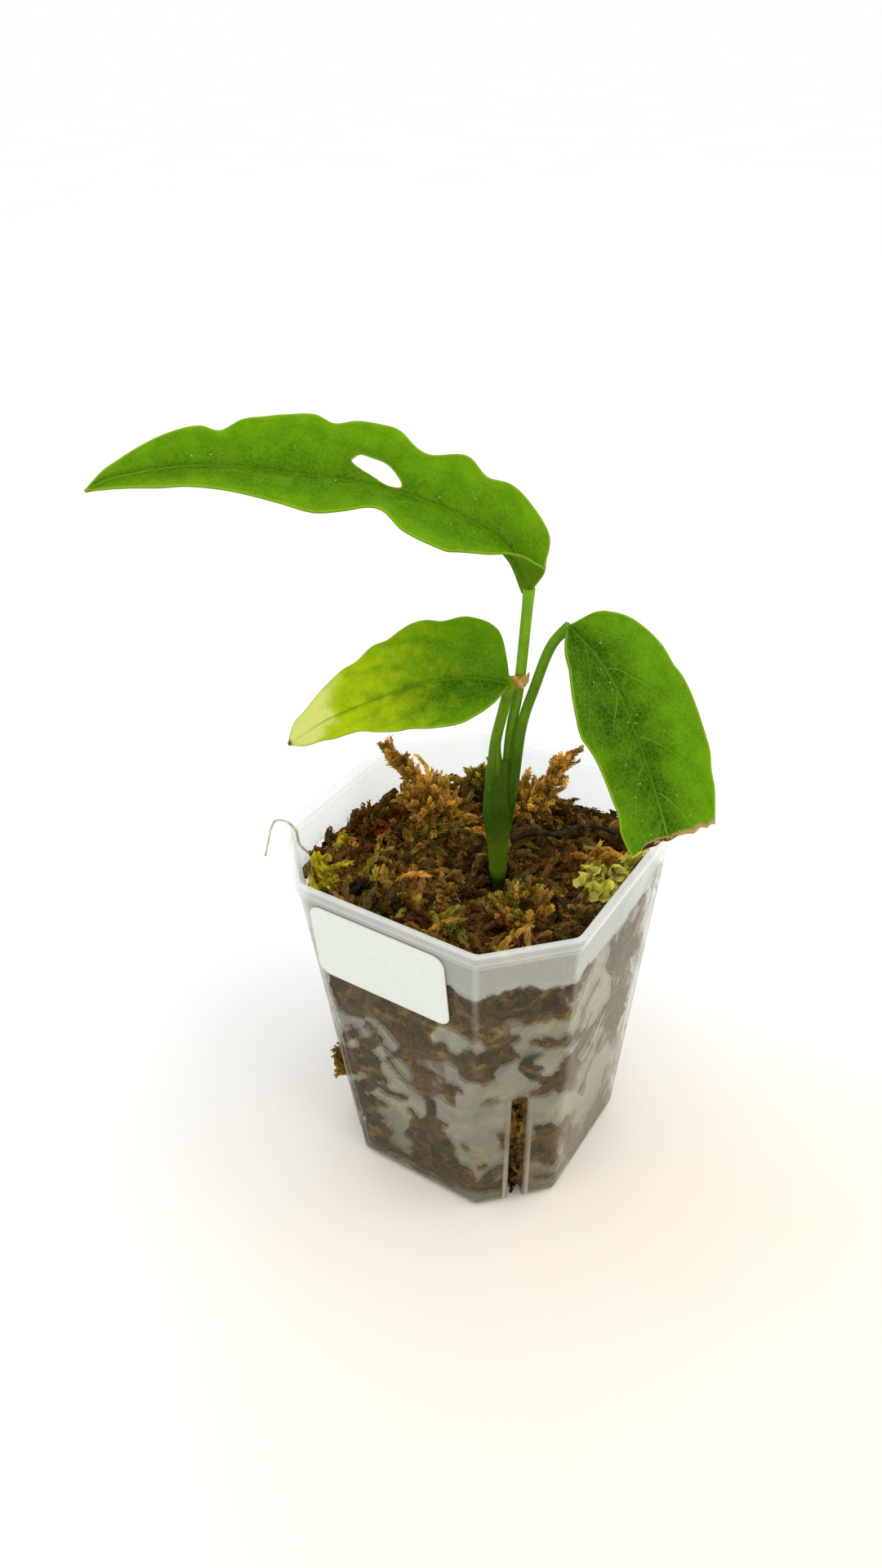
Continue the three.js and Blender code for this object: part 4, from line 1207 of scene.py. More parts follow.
@dataclass
class Tuft:
    """A tuft of one colour, round a main sprig."""

    name: str
    node: str
    slot: str
    tints: tuple[Tint, ...]
    at: tuple[float, float]  # where it stands
    reach: tuple[float, float, float]  # from its foot to the end of the main sprig
    radius: float  # about how wide its foot is
    sprigs: int
    main: int  # how many of them wind along the main sprig
    thick: float
    length: float
    bow: float = 0.0  # how far the main sprig sways to either side


@dataclass
class MossBed:
    """The sphagnum that fills the pot: its body, its strands and its tufts."""

    pot: Pot
    level: float = 83.5  # the height of its top
    lumps: float = 6.0  # how uneven its top is
    relief: float = 2.4  # how uneven its side is
    patch: float = 8.0  # about how wide the patches are that press on the wall
    clumps: int = 300
    each: int = 4  # strands in a clump
    gap: float = 0.3  # from the wall to the moss that touches it
    laid: float = 2.0  # how far inside the wall's face the strands along it lie
    along: int = 2300  # strands that may lie along the wall
    stem_at: tuple[float, float] = (6.8, -1.6)
    # place x and y, radius and height of its mounds and hollows
    mounds: Places = (
        (-28, 0, 7, 2.0), (-18, 10, 8, 3.4), (-14, 24, 6, 2.5), (2, 22, 8, 4), (21, 19, 8, 1),
        (21, -12, 7, 2.5), (31, 7, 6, 2.5), (-5.5, -13, 4.5, -4.5), (7, -2, 5, -6.5),
        (-36, 12, 8, -5), (-26, 31, 9, -5), (3, 38, 10, -5), (25, 35, 9, -3.5), (-30, -8, 3, -3),
    )
    # turn about the pot in degrees, height and radius of patches where the moss presses on the wall
    pressing: Places = (
        (-110, 62, 5), (-99, 63, 4.5), (-86, 62, 4.5), (-85, 51, 5), (-84, 41, 4), (-112, 37, 5),
        (-113, 22, 4), (-110, 11, 4), (-67, 57, 2.5), (-61, 53, 2.5), (-73, 43, 4.5), (-80, 22, 5),
        (-74, 12, 6), (-52, 74, 5), (-45, 76, 4), (-51, 61, 4), (-56, 44, 3), (-33, 18, 4), (-16, 51, 4),
        (5, 46, 3.5), (16, 51, 5), (4, 9, 4),
    )
    # and of patches where it stands off
    hollow: Places = (
        (-96, 52, 4), (-92, 44, 4), (-68, 63, 4), (-97, 29, 6), (-90, 24, 4.5), (-66, 36, 6), (-62, 26, 5),
        (-98, 8, 6), (-103, 42, 3), (-38, 66, 5), (-43, 56, 5), (-36, 54, 4), (-55, 34, 4), (-56, 18, 5),
        (-33, 33, 6), (-33, 8, 4), (-59, 49, 3), (-18, 70, 4), (-11, 59, 5), (22, 23, 6), (-11, 24, 7),
        (3, 28, 6),
    )
    # its colours, and where one gives way to the next
    shades: tuple[Tint, ...] = (
        Tint.DARK, Tint.BROWN, Tint.RUST, Tint.BROWN, Tint.AMBER, Tint.BROWN, Tint.GOLD, Tint.OLIVE,
    )
    steps: tuple[float, ...] = (0.14, 0.36, 0.4, 0.52, 0.68, 0.76, 0.9)
    twig_on: Places = ((3.7, 8.8), (8, 13.7), (13.3, 15.6), (15.8, 19.8), (19, 22.8), (24.7, 23.9))
    tufts: tuple[Tuft, ...] = (
        Tuft(
            "moss_gold_tall", "moss_gold_back_left", "moss_gold", (Tint.STRAW, Tint.HONEY, Tint.GOLD),
            (-19, 9), (-13.5, 1.5, 15.5), 6.5, 120, 58, 2.6, 8.0, 1.5,
        ),
        Tuft(
            "moss_amber", "moss_amber_back_right", "moss_amber", (Tint.HONEY, Tint.STRAW, Tint.AMBER),
            (-1, 22), (11, 9.5, 16), 7, 120, 50, 2.5, 8.0, 1.4,
        ),
        Tuft(
            "moss_olive_head", "moss_olive_back", "moss_olive", (Tint.PALE, Tint.OLIVE),
            (-14, 24.5), (1, -1, 5), 5.8, 60, 14, 2.2, 5,
        ),
        Tuft(
            "moss_rust", "moss_rust_left", "moss_rust", (Tint.RUST, Tint.RUST, Tint.BROWN),
            (-28, -2), (4, 2, 5), 6.5, 80, 16, 2.4, 5.5,
        ),
        Tuft(
            "moss_gold_low", "moss_gold_front", "moss_gold", (Tint.GOLD, Tint.OLIVE, Tint.AMBER, Tint.GOLD),
            (20, -14), (-3, 2, 5), 7.5, 90, 18, 2.5, 6.5,
        ),
        Tuft(
            "moss_olive_side", "moss_olive_right", "moss_olive", (Tint.PALE, Tint.PALE, Tint.OLIVE),
            (31, 4.8), (-2, -1, 2.5), 4.6, 20, 2, 7.5, 4.6,
        ),
        Tuft(
            "moss_lime", "moss_lime_left", "moss_lime", (Tint.LIME, Tint.LIME, Tint.OLIVE),
            (-30.8, -25.2), (0.5, 0.5, 2.6), 3.4, 24, 3, 6.0, 3.6,
        ),
    )
    # place x and y, radius and colour of patches
    patches: tuple[tuple[float, float, float, Tint], ...] = (
        (-28, 1, 7, Tint.RUST), (21, -12, 7, Tint.OLIVE), (-31, -25, 4, Tint.LIME),
        (-16, -20, 5, Tint.OLIVE), (32, 7, 6, Tint.PALE), (17, 1, 3, Tint.OLIVE),
        (24, 6, 5, Tint.RUST), (8, 28, 13, Tint.AMBER),
        (-19, 10, 10, Tint.GOLD), (-4, -6, 9, Tint.AMBER), (27, 22, 8, Tint.AMBER), (4, -24, 5, Tint.OLIVE),
        (-10, 0, 10, Tint.HONEY), (-22, -8, 7, Tint.BROWN),
    )
    # the root that runs along the inside of the wall
    wall_root: Places = (
        (6.8, -1.6, 65), (12, -10, 61), (20, -19, 57), (26, -26.2, 54.5), (28.8, -23.9, 50),
        (32.1, -20, 47.4), (33.6, -14.5, 48.4), (33.6, -7.5, 50.2), (33.9, -1.5, 55),
    )
    draw: np.random.Generator = field(default_factory=lambda: np.random.default_rng(17))
    at_wall: tuple[Array, ...] = ()  # start, end, bend and thickness of the strands along the wall

    def __post_init__(self) -> None:
        """Lays the strands along the wall."""
        draw, count, inset = self.draw, self.along, self.laid
        angle, z = draw.uniform(-math.pi, math.pi, count), 4 + 77 * draw.uniform(0, 1, count)
        start = self.pot.inside(angle, z, inset)
        held = smoothstep(self.pressed(*start.T), 0.42, 0.58)
        keep = draw.uniform(0, 1, count) < 0.04 + 0.5 * held
        slope = draw.normal(0.9, 0.9, count)
        length = draw.uniform(3.5, 9.5, count)
        rise = np.clip(z + np.sin(slope) * length, 3, 82)
        end = self.pot.inside(angle + np.cos(slope) * length / 37, rise, inset)
        bend = self.bends(start, end, 0.3)
        self.at_wall = (start[keep], end[keep], bend[keep], draw.uniform(2.4, 4.4, count)[keep])

    def bends(self, roots: Array, tips: Array, curl: float, arch: float = 0.0) -> Array:
        """Gives how far the middles of strands are pushed aside.

        Args:
            roots: Where each one starts.
            tips: Where each ends.
            curl: How much they bend, as a share of their length.
            arch: How much their middles rise.

        Returns:
            A push for each.
        """
        lengths = np.linalg.norm(tips - roots, axis=1)[:, None]
        return (self.draw.normal(0, 1, roots.shape) * [1, 1, 0.6] * curl + [0, 0, arch]) * lengths

    def pressed(self, x: Array, y: Array, z: Array) -> Array:
        """Gives how hard the moss presses on the wall.

        Args:
            x: First coordinates of places.
            y: Second coordinates.
            z: Third coordinates.

        Returns:
            About 0 for not at all, to 1.
        """
        s, f = self.patch, self.patch * 0.45
        press = noise(x / s + 7, y / s + 3, z / s) * 0.45 + noise(x / f, y / f, z / f + 11) * 0.35 + 0.1
        turn = np.degrees(np.arctan2(y, x))
        for spots, push in ((self.pressing, 0.28), (self.hollow, -0.4)):
            for at, up, radius in spots:
                away = ((turn - at) * 0.65) ** 2 + (z - up) ** 2
                press = press + push * np.exp(-away / radius**2)
        return press

    def lump(self, x: Array, y: Array) -> Array:
        """Gives how far up a lump a place is, from 0 to 1."""
        return noise(x / 6 + 21, y / 6, 1.0)

    def height(self, x: Array, y: Array) -> Array:
        """Gives the height of the moss's top.

        Args:
            x: First coordinates of places.
            y: Second coordinates.

        Returns:
            A height for each.
        """
        x, y = np.asarray(x, float), np.asarray(y, float)
        height = self.level + self.lumps * (self.lump(x, y) - 0.5)
        for across, along, radius, rise in self.mounds:
            height = height + rise * np.exp(-((x - across) ** 2 + (y - along) ** 2) / radius**2)
        return height

    def tint_at(self, points: Array, loose: float) -> Array:
        """Gives the colour of the moss at each place.

        Args:
            points: The places.
            loose: How much the colours vary from one to the next.

        Returns:
            Colours.
        """
        x, y, z = points.T
        pick = noise(x / 6 + 4, y / 6 + 9, z / 6) + self.draw.normal(0, loose, len(points))
        colours = colours_of(self.shades)[np.searchsorted(self.steps, pick)]
        for across, along, radius, tint in self.patches:
            near = np.exp(-((x - across) ** 2 + (y - along) ** 2) / radius**2) * (z > self.level - 8)
            colours[self.draw.uniform(0, 1, len(points)) < near * 0.9] = tint.value
        return colours * self.draw.uniform(0.7, 1.25, len(points))[:, None]

    def core(self) -> None:
        """Builds the moss's body, whose sides press on the wall in patches."""
        pot, levels, rings, bottom = self.pot, 64, 40, self.pot.floor + self.gap
        angle = np.linspace(0, TURN, 176, endpoint=False)

        def side(z: Array, extra: float) -> Array:
            """Gives a ring of the side."""
            touch = smoothstep(self.pressed(*pot.inside(angle, z, pot.wall + self.gap).T), 0.42, 0.58)
            return pot.inside(angle, z, pot.wall + 1.0 + 0.35 * self.relief * (1 - touch) + extra)

        top = self.height(*pot.inside(angle, self.level, pot.wall + self.gap).T[:2]) - 3.6
        rows = [side(bottom, 1.0)]
        rows += [side(bottom + 0.9 + (top - bottom - 0.9) * s, 0.0) for s in np.linspace(0, 1, levels)]
        for ring in range(1, rings + 1):
            share = (1 - ring / (rings + 0.6)) ** 0.9
            x, y = (self.stem_at + (rows[levels][:, :2] - self.stem_at) * share).T
            fine = 1.6 * (noise(x / 1.9, y / 1.9, 5.0) - 0.5) + 0.8 * (noise(x / 0.9, y / 0.9, 8.0) - 0.5)
            z = self.height(x, y) - 0.6 - 2.4 * smoothstep(share, 0.8, 1.0) + fine
            rows.append(np.stack([x, y, z], axis=1))
        piece = lofted("moss_body", capped(rows))
        points = read(piece)
        # painted shade: the top is darker in its hollows, and the body below it gets a fixed 0.7
        deep = 0.3 + 0.45 * smoothstep(self.lump(*points.T[:2]), 0.25, 0.7)
        shade = np.where(points[:, 2] > self.level - 6, deep, 0.7)[:, None]
        paint(piece, tint=self.tint_at(points, 0.03) * shade)
        dress(piece, MossFinish(), "moss_bed", angle=180)

    def keep_in(self, points: Array) -> Array:
        """Pulls points back inside the pot's wall.

        Args:
            points: The points.

        Returns:
            The points, moved where they had to be.
        """
        x, y, z = points.T
        inset = 1.25 + 2.5 * smoothstep(z, self.level - 1.5, self.level + 2)
        limit = self.pot.reach(np.arctan2(y, x), np.minimum(z, self.pot.height), inset)
        inward = np.minimum(1.0, limit / np.maximum(np.hypot(x, y), 1e-6))
        scale = np.where(z < self.pot.height + 1.5, inward, 1.0)
        return np.column_stack([x * scale, y * scale, z])

    def plant(
        self, name: str, sprig: Sprig, strands: tuple[Array, ...], tints: Array,
        node: str = "moss_bed", in_slits: bool = False,
    ) -> None:
        """Plants copies of a sprig and gives each its tint, with painted shade along each leaflet.

        Args:
            name: The piece's name.
            sprig: The sprig that is copied.
            strands: Where each one starts and ends, how far its middle is pushed aside, and its thickness.
            tints: Each one's colour.
            node: The solid that they stand for.
            in_slits: Whether they may poke out of the wall, and get a darker painted shade.
        """
        spins = self.draw.uniform(0, 6 if in_slits else TURN, len(tints))
        points, faces = bend_copies(sprig, strands, spins)
        along, far = sprig[0][:, 2], sprig[2]
        # painted shade along each leaflet: darker at its foot by the core, lighter out to its tip and up the
        # sprig, and darker all over in the slits
        light = 0.5 + 0.4 * far if in_slits else 0.68 + 0.45 * far + 0.25 * along
        piece = from_points(name, points if in_slits else self.keep_in(points), faces)
        colours = np.repeat(tints, len(far), axis=0) * np.tile(light, len(tints))[:, None]
        paint(piece, tint=np.clip(colours, 0, 1))
        dress(piece, MossFinish(), node)

    def bed(self, sprig: Sprig) -> None:
        """Plants the clumps of strands that cover the bed, and the strands along the wall.

        Args:
            sprig: The sprig that is copied.
        """
        draw, each, count = self.draw, self.each, self.clumps * self.each
        stem, twig = np.array([self.stem_at]), smooth_path([(x, y, 0) for x, y in self.twig_on], 30)[:, :2]
        # the low layer gets a darker painted shade (0.6) than the high one
        for name, arch, lift, spread, light in (
            ("moss_strands_low", 0.12, -1.8, 2.6, 0.6), ("moss_strands_high", 0.36, -0.6, 1.6, 1.0),
        ):
            angle = draw.uniform(0, TURN, self.clumps)
            reach = self.pot.reach(angle, self.level, 2.5) * np.sqrt(draw.uniform(0.01, 1, self.clumps))
            middle = around(angle, reach, self.level)
            tints = np.repeat(self.tint_at(middle, 0.1), each, axis=0)
            turn = np.repeat(draw.uniform(0, TURN, self.clumps), each) + draw.normal(0, 0.7, count)
            rise = np.repeat(draw.uniform(-0.1, 0.8, self.clumps), each) + draw.normal(0, 0.25, count)
            roots = np.repeat(middle, each, axis=0) + draw.normal(0, spread, (count, 3)) * [1, 1, 0]
            roots[:, 2] = self.height(*roots.T[:2]) + lift + draw.normal(0, 0.4, count)
            tips = roots + around(turn, np.cos(rise), np.sin(rise)) * draw.uniform(5.5, 12.5, (count, 1))
            ground = self.height(*tips.T[:2])
            proud = np.where((draw.uniform(0, 1, count) < 0.16) & (roots @ FRONT <= 18), 4.0, 0.4)
            tips[:, 2] = np.clip(tips[:, 2], ground - 1.5 + lift, ground + proud)
            half = (roots + tips) / 2
            keep = (gap_to(stem, (roots, half, tips), 3) > 3.6) & (gap_to(twig, (half, tips), 2.5) > 1.6)
            # painted shade: darker in the hollows of the top; also darker towards the right, and a random
            # tone for each strand
            shade = 0.74 + 0.66 * smoothstep(self.lump(*tips.T[:2]), 0.2, 0.6)
            shade = shade * (1.14 - 0.34 * smoothstep(tips @ RIGHT, -22, 22)) * light
            tints = tints * (shade * draw.uniform(0.55, 1.3, count))[:, None]
            size = draw.uniform(1.9, 3.5, count)
            strands = roots, tips, self.bends(roots, tips, 0.24, arch), size
            self.plant(name, sprig, tuple(part[keep] for part in strands), tints[keep])
        shades = np.array([Tint.DARK.value, Tint.BROWN.value, Tint.BROWN.value, srgb("5c5226")])
        count = len(self.at_wall[0])
        tints = shades[draw.integers(0, 4, count)] * draw.uniform(0.5, 1.0, (count, 1))
        self.plant("moss_at_wall", sprig, self.at_wall, tints)

    def tuft(self, tuft: Tuft, sprig: Sprig) -> None:
        """Builds one tuft: sprigs that wind along its main one, and sprigs that stand round its foot.

        Args:
            tuft: The tuft's sizes.
            sprig: The sprig that is copied.
        """
        draw, main, count = self.draw, tuft.main, tuft.sprigs - tuft.main
        root, reach = np.array([*tuft.at, float(self.height(*tuft.at))]), np.array(tuft.reach)
        way = unit(reach)
        wound = np.linspace(0, 0.86, main)[:, None]
        sway = np.sin(wound * 1.9 * math.pi) * (RIGHT + [0, 0, 0.3]) * tuft.bow
        starts = root + reach * wound + sway + draw.normal(0, 0.45, (main, 3))
        aside = unit(draw.normal(0, 1, (main, 3)))
        leaning = (way * 0.7 + aside * 0.8 * (1.1 - wound)) * tuft.length
        ends = starts + leaning * draw.uniform(0.4, 0.95, (main, 1))
        out = around(draw.uniform(0, TURN, count), 1, 0)
        foot = root + out * (tuft.radius * 0.55 * np.sqrt(draw.uniform(0, 1, (count, 1))))
        foot[:, 2] = self.height(*foot.T[:2]) + draw.uniform(-0.5, 1.2, count)
        lean = out * draw.uniform(0.2, 1.0, (count, 1)) + [0, 0, 1] * draw.uniform(0.15, 0.9, (count, 1))
        tops = foot + unit(lean + way * 0.35) * (tuft.length * draw.uniform(0.6, 1.05, (count, 1)))
        roots, tips = np.vstack([starts, foot]), np.vstack([ends, tops])
        tips[:, 2] = np.minimum(tips[:, 2], root[2] + max(reach[2], 0) + 1.6)
        size = draw.uniform(0.75, 1.2, tuft.sprigs) * tuft.thick
        picks = draw.integers(0, len(tuft.tints), tuft.sprigs)
        tints = colours_of(tuft.tints)[picks] * draw.uniform(0.75, 1.25, (tuft.sprigs, 1))
        strands = roots, tips, self.bends(roots, tips, 0.18), size
        self.plant(tuft.name, sprig, strands, tints, tuft.node)

    def slits(self, sprig: Sprig) -> None:
        """Plants the moss that shows in the slits, and pokes out of the left one.

        Args:
            sprig: The sprig that is copied.
        """
        draw, left, rows = self.draw, 2, []
        inner, outer = (Tint.BROWN, Tint.AMBER, Tint.GOLD, Tint.DARK), (Tint.GOLD, Tint.AMBER)

        def at(corner: int, reach: float, aside: float, z: float) -> Array:
            """Gives a place at a corner."""
            angle = (corner + 0.5) * TURN / 4
            return around(angle, reach, z) + around(angle + TURN / 4, aside, 0)

        for corner, z in product(range(4), np.linspace(4, 41, 26)):
            face = float(self.pot.corner(z))
            start = at(corner, face - 3.2, draw.uniform(-1.2, 1.2), z)
            end = at(corner, face - 1.0, draw.uniform(-1.0, 1.0), z + draw.uniform(-4, 4))
            rows.append((start, end, inner[draw.integers(0, 4)].value))
        for _ in range(44):
            z = draw.uniform(21, 30)
            start = at(left, 35.5, draw.uniform(-1.3, 1.3), z)
            end = at(left, draw.uniform(37.8, 40.0), draw.uniform(-2.6, 2.6), z + draw.uniform(-5, 3))
            rows.append((start, end, outer[draw.integers(0, 2)].value))
        roots, tips, tints = (np.array(part) for part in zip(*rows))
        strands = roots, tips, self.bends(roots, tips, 0.25), draw.uniform(1.6, 2.8, len(rows))
        self.plant("moss_in_slits", sprig, strands, tints, in_slits=True)

    def make(self) -> None:
        """Builds all the moss."""
        long_sprig = Strand().make()
        lobes = Strand(leaflets=8, length=0.55, core=0.14, broad=1.3, sections=2).make()
        head = Strand(leaflets=20, length=0.26, spread=0.7, sections=4).make()
        self.core()
        self.bed(long_sprig)
        sprigs = {"moss_olive_head": head, "moss_olive_side": lobes, "moss_lime": lobes}
        for tuft in self.tufts:
            self.tuft(tuft, sprigs.get(tuft.name, long_sprig))
        self.slits(head)


@dataclass
class Litter:
    """What lies on and in the moss: a dead twig, a pale strand and the roots."""

    moss: MossBed
    twig: Finish = DryFinish("twig_bark", srgb("4a3320"), srgb("20140c"))
    strand: Finish = DryFinish("pale_fibre", srgb("ded9bd"), srgb("b3ab84"))
    root: Finish = DryFinish("root_skin", srgb("7a5230"), srgb("4a2f1a"), 300.0)
    twig_heights: tuple[float, ...] = (86.2, 86.8, 87.2, 87.4, 87.2, 86.6)
    strand_path: Places = (
        (-34.6, -19.4, 84.5), (-37, -21.6, 89), (-37.2, -22.2, 93.5), (-38.8, -23.3, 96.2),
        (-41.3, -24.2, 96.2), (-42, -25.2, 94.6), (-41.8, -27, 92), (-41.1, -29.5, 89.2),
    )
    crown: tuple[float, float, float] = (6.8, -1.6, 65)
    # the roots that run from the crown, and their thickness
    roots: tuple[tuple[Places, float], ...] = (
        (((9, 5, 58), (16, 13, 48), (18, 20, 36)), 1.7),
        (((1, 4, 57), (-8, 12, 50), (-15, 14, 38)), 1.6),
        (((2, -8, 58), (-7, -14, 52), (-18, -16, 44)), 1.6),
        (((7.5, -3, 52), (4, -6, 38), (5, -2, 24)), 1.8),
    )

    def line(
        self, name: str, path: Places, count: int, radii: tuple[float, float], wobble: float, sides: int = 10
    ) -> Piece:
        """Makes an uneven line.

        Args:
            name: The piece's name.
            path: Points along it.
            count: How many rings it has.
            radii: Its radius at both ends.
            wobble: How uneven its thickness is.
            sides: How many sides it has.

        Returns:
            The piece.
        """
        rings = tube(smooth_path(path, count), np.linspace(*radii, count), sides)
        middle = rings.mean(axis=1, keepdims=True)
        rough = 1 + wobble * (noise(*(rings.T * 1.1)).T - 0.5)
        return lofted(name, middle + (rings - middle) * rough[..., None])

    def make(self) -> None:
        """Builds the twig, the pale strand and the roots."""
        path = np.column_stack([self.moss.twig_on, self.twig_heights])
        dress(self.line("dead_twig", path, 60, (0.85, 0.5), 0.5), self.twig, "twig")
        fibre = self.line("pale_fibre", self.strand_path, 90, (0.38, 0.24), 0.5, 8)
        dress(fibre, self.strand, "pale_strand")
        routes = ((self.moss.wall_root, 1.5), *(((self.crown, *path), thick) for path, thick in self.roots))
        lines = [self.line("root", path, 70, (thick / 2, thick * 0.33), 0.35) for path, thick in routes]
        sizes = {"radius": 2.2 * MM, "location": (Vector(self.crown) + Vector((0, 0, 0.5))) * MM}
        crown = added(bpy.ops.mesh.primitive_ico_sphere_add, subdivisions=3, **sizes)
        crown.name = "root_crown"
        bpy.ops.object.transform_apply(location=True, rotation=True, scale=True)
        join(crown, *lines)
        dress(crown, self.root, "roots")


# The plant


@dataclass
class Stem:
    """The short stem with its node ring, which opens into the sheath of the stalks."""

    # height, middle x and y, half width to the side, half width to the front
    sections: Places = (
        (68, 6.8, -1.6, 1.6, 1.6), (76.6, 6.6, -1.4, 1.75, 1.75), (82.6, 5.8, -0.5, 1.85, 1.85),
        (83.7, 5.5, -0.2, 2.1, 2.05), (84.6, 5.5, -0.2, 2.2, 2.1), (85.6, 5.5, -0.2, 2.1, 1.95),
        (92, 5.5, -0.3, 2.5, 2.15), (97, 5.6, -0.3, 3.15, 2.5), (101, 5.8, -0.2, 3.5, 2.4),
        (105, 6.1, 0.0, 3.6, 2.1), (109, 6.4, 0.3, 3.3, 1.7), (112.5, 6.7, 0.7, 2.4, 1.1),
        (115, 7.0, 1.0, 0.9, 0.5),
    )
    # how light it is at each height: partly its own colour, partly painted shade, darkest down in the moss
    tones: Places = (
        (68, 0.05), (82.4, 0.05), (83.8, 0.9), (88, 1.0), (94, 0.55), (101, 0.27), (108, 0.4), (115, 0.55),
    )
    finish: Finish = StalkFinish("sheath", srgb("26360c"), srgb("5e7c12"), srgb("5e7c1c"))

    def make(self) -> None:
        """Builds the stem."""
        table = np.array(self.sections)
        z = np.linspace(table[0, 0], table[-1, 0], 150)
        x, y, across, deep = curve_at(table[:, 0], table[:, 1:], z).T[..., None, None]
        angle = np.linspace(0, TURN, 40, endpoint=False)[:, None]
        middle = np.concatenate([x, y, z[:, None, None]], axis=-1)
        rings = middle + np.cos(angle) * across * RIGHT - np.sin(angle) * deep * FRONT
        piece = lofted("stem_sheath", capped(rings))
        # the table's own colour and painted shade set how far it runs from the foot colour to the top colour
        paint(piece, share=np.interp(read(piece)[:, 2], *zip(*self.tones)))
        dress(piece, self.finish, "stem")


@dataclass
class Stalk:
    """One leaf stalk."""

    name: str
    node: str
    path: Places
    foot: float  # how thick it is at its foot
    neck: float  # and at its top
    colours: tuple[str, str]  # at its foot and at its top
    winged: bool = False  # whether a thin wing of sheath runs up it
    middle: tuple[float, float] = (5.6, -0.3)  # of the sheath that it comes out of

    def make(self) -> None:
        """Builds the stalk, and the thin wing of sheath beside it if it has one."""
        points = np.array(self.path, float)
        middle, start, end = np.array(self.middle), points[0], points[-1, 2]
        drops = ((0.3, 12.0), (0.66, 6.0))
        low = [[*(middle + (start[:2] - middle) * part), start[2] - drop] for part, drop in drops]
        path = smooth_path(np.vstack([low, points]), 120)
        share = np.linspace(0, 1, 120)
        radii = (self.foot + (self.neck - self.foot) * np.sqrt(share)) / 2
        radii = radii * (0.55 + 0.45 * smoothstep(share, 0, 0.24)) * (1 + 0.1 * smoothstep(share, 0.93, 1.0))
        piece = lofted(self.name, tube(path, radii, 20))
        paint(piece, share=smoothstep(read(piece)[:, 2], start[2], 0.25 * start[2] + 0.75 * end))
        if self.winged:
            join(piece, self.wing(path))
        dress(piece, StalkFinish(self.name, *map(srgb, self.colours)), self.node)

    def wing(self, path: Array) -> Piece:
        """Builds the wing: a thin sheet that narrows upwards.

        Args:
            path: The stalk's middle line.

        Returns:
            The wing.
        """
        share, across = np.linspace(0, 1, 30)[:, None], np.linspace(0, 1, 9)
        middle = np.stack([np.interp(96 + 25 * share, path[:, 2], axis) for axis in path.T], axis=-1)
        width = (4.2 - 3.2 * smoothstep(share, 0.3, 1.0)) * (0.6 + 0.4 * smoothstep(share, 0, 0.3))
        bow = 1.1 * smoothstep(share, 0.1, 0.5) * np.sin(across * math.pi)
        rows = middle + (width * across)[..., None] * RIGHT + bow[..., None] * FRONT
        wing = lofted("wing", rows, wrap=False)
        modify(wing, "SOLIDIFY", thickness=0.35 * MM, offset=0)
        paint(wing, share=1.1 * smoothstep(read(wing)[:, 2], 106, 121))
        return wing


@dataclass
class Half:
    """One half of a blade: its width, and how far it is folded up, along the spine."""

    shares: tuple[float, ...]
    widths: tuple[float, ...]
    fold_shares: tuple[float, ...]
    folds: tuple[float, ...]

    def at(self, share: Array) -> Array:
        """Gives the half's width, and the angle in radians that it is folded up by."""
        width = np.maximum(curve_at(self.shares, self.widths, share), 0.12)
        return np.stack([width, np.radians(curve_at(self.fold_shares, self.folds, share))])[..., None]


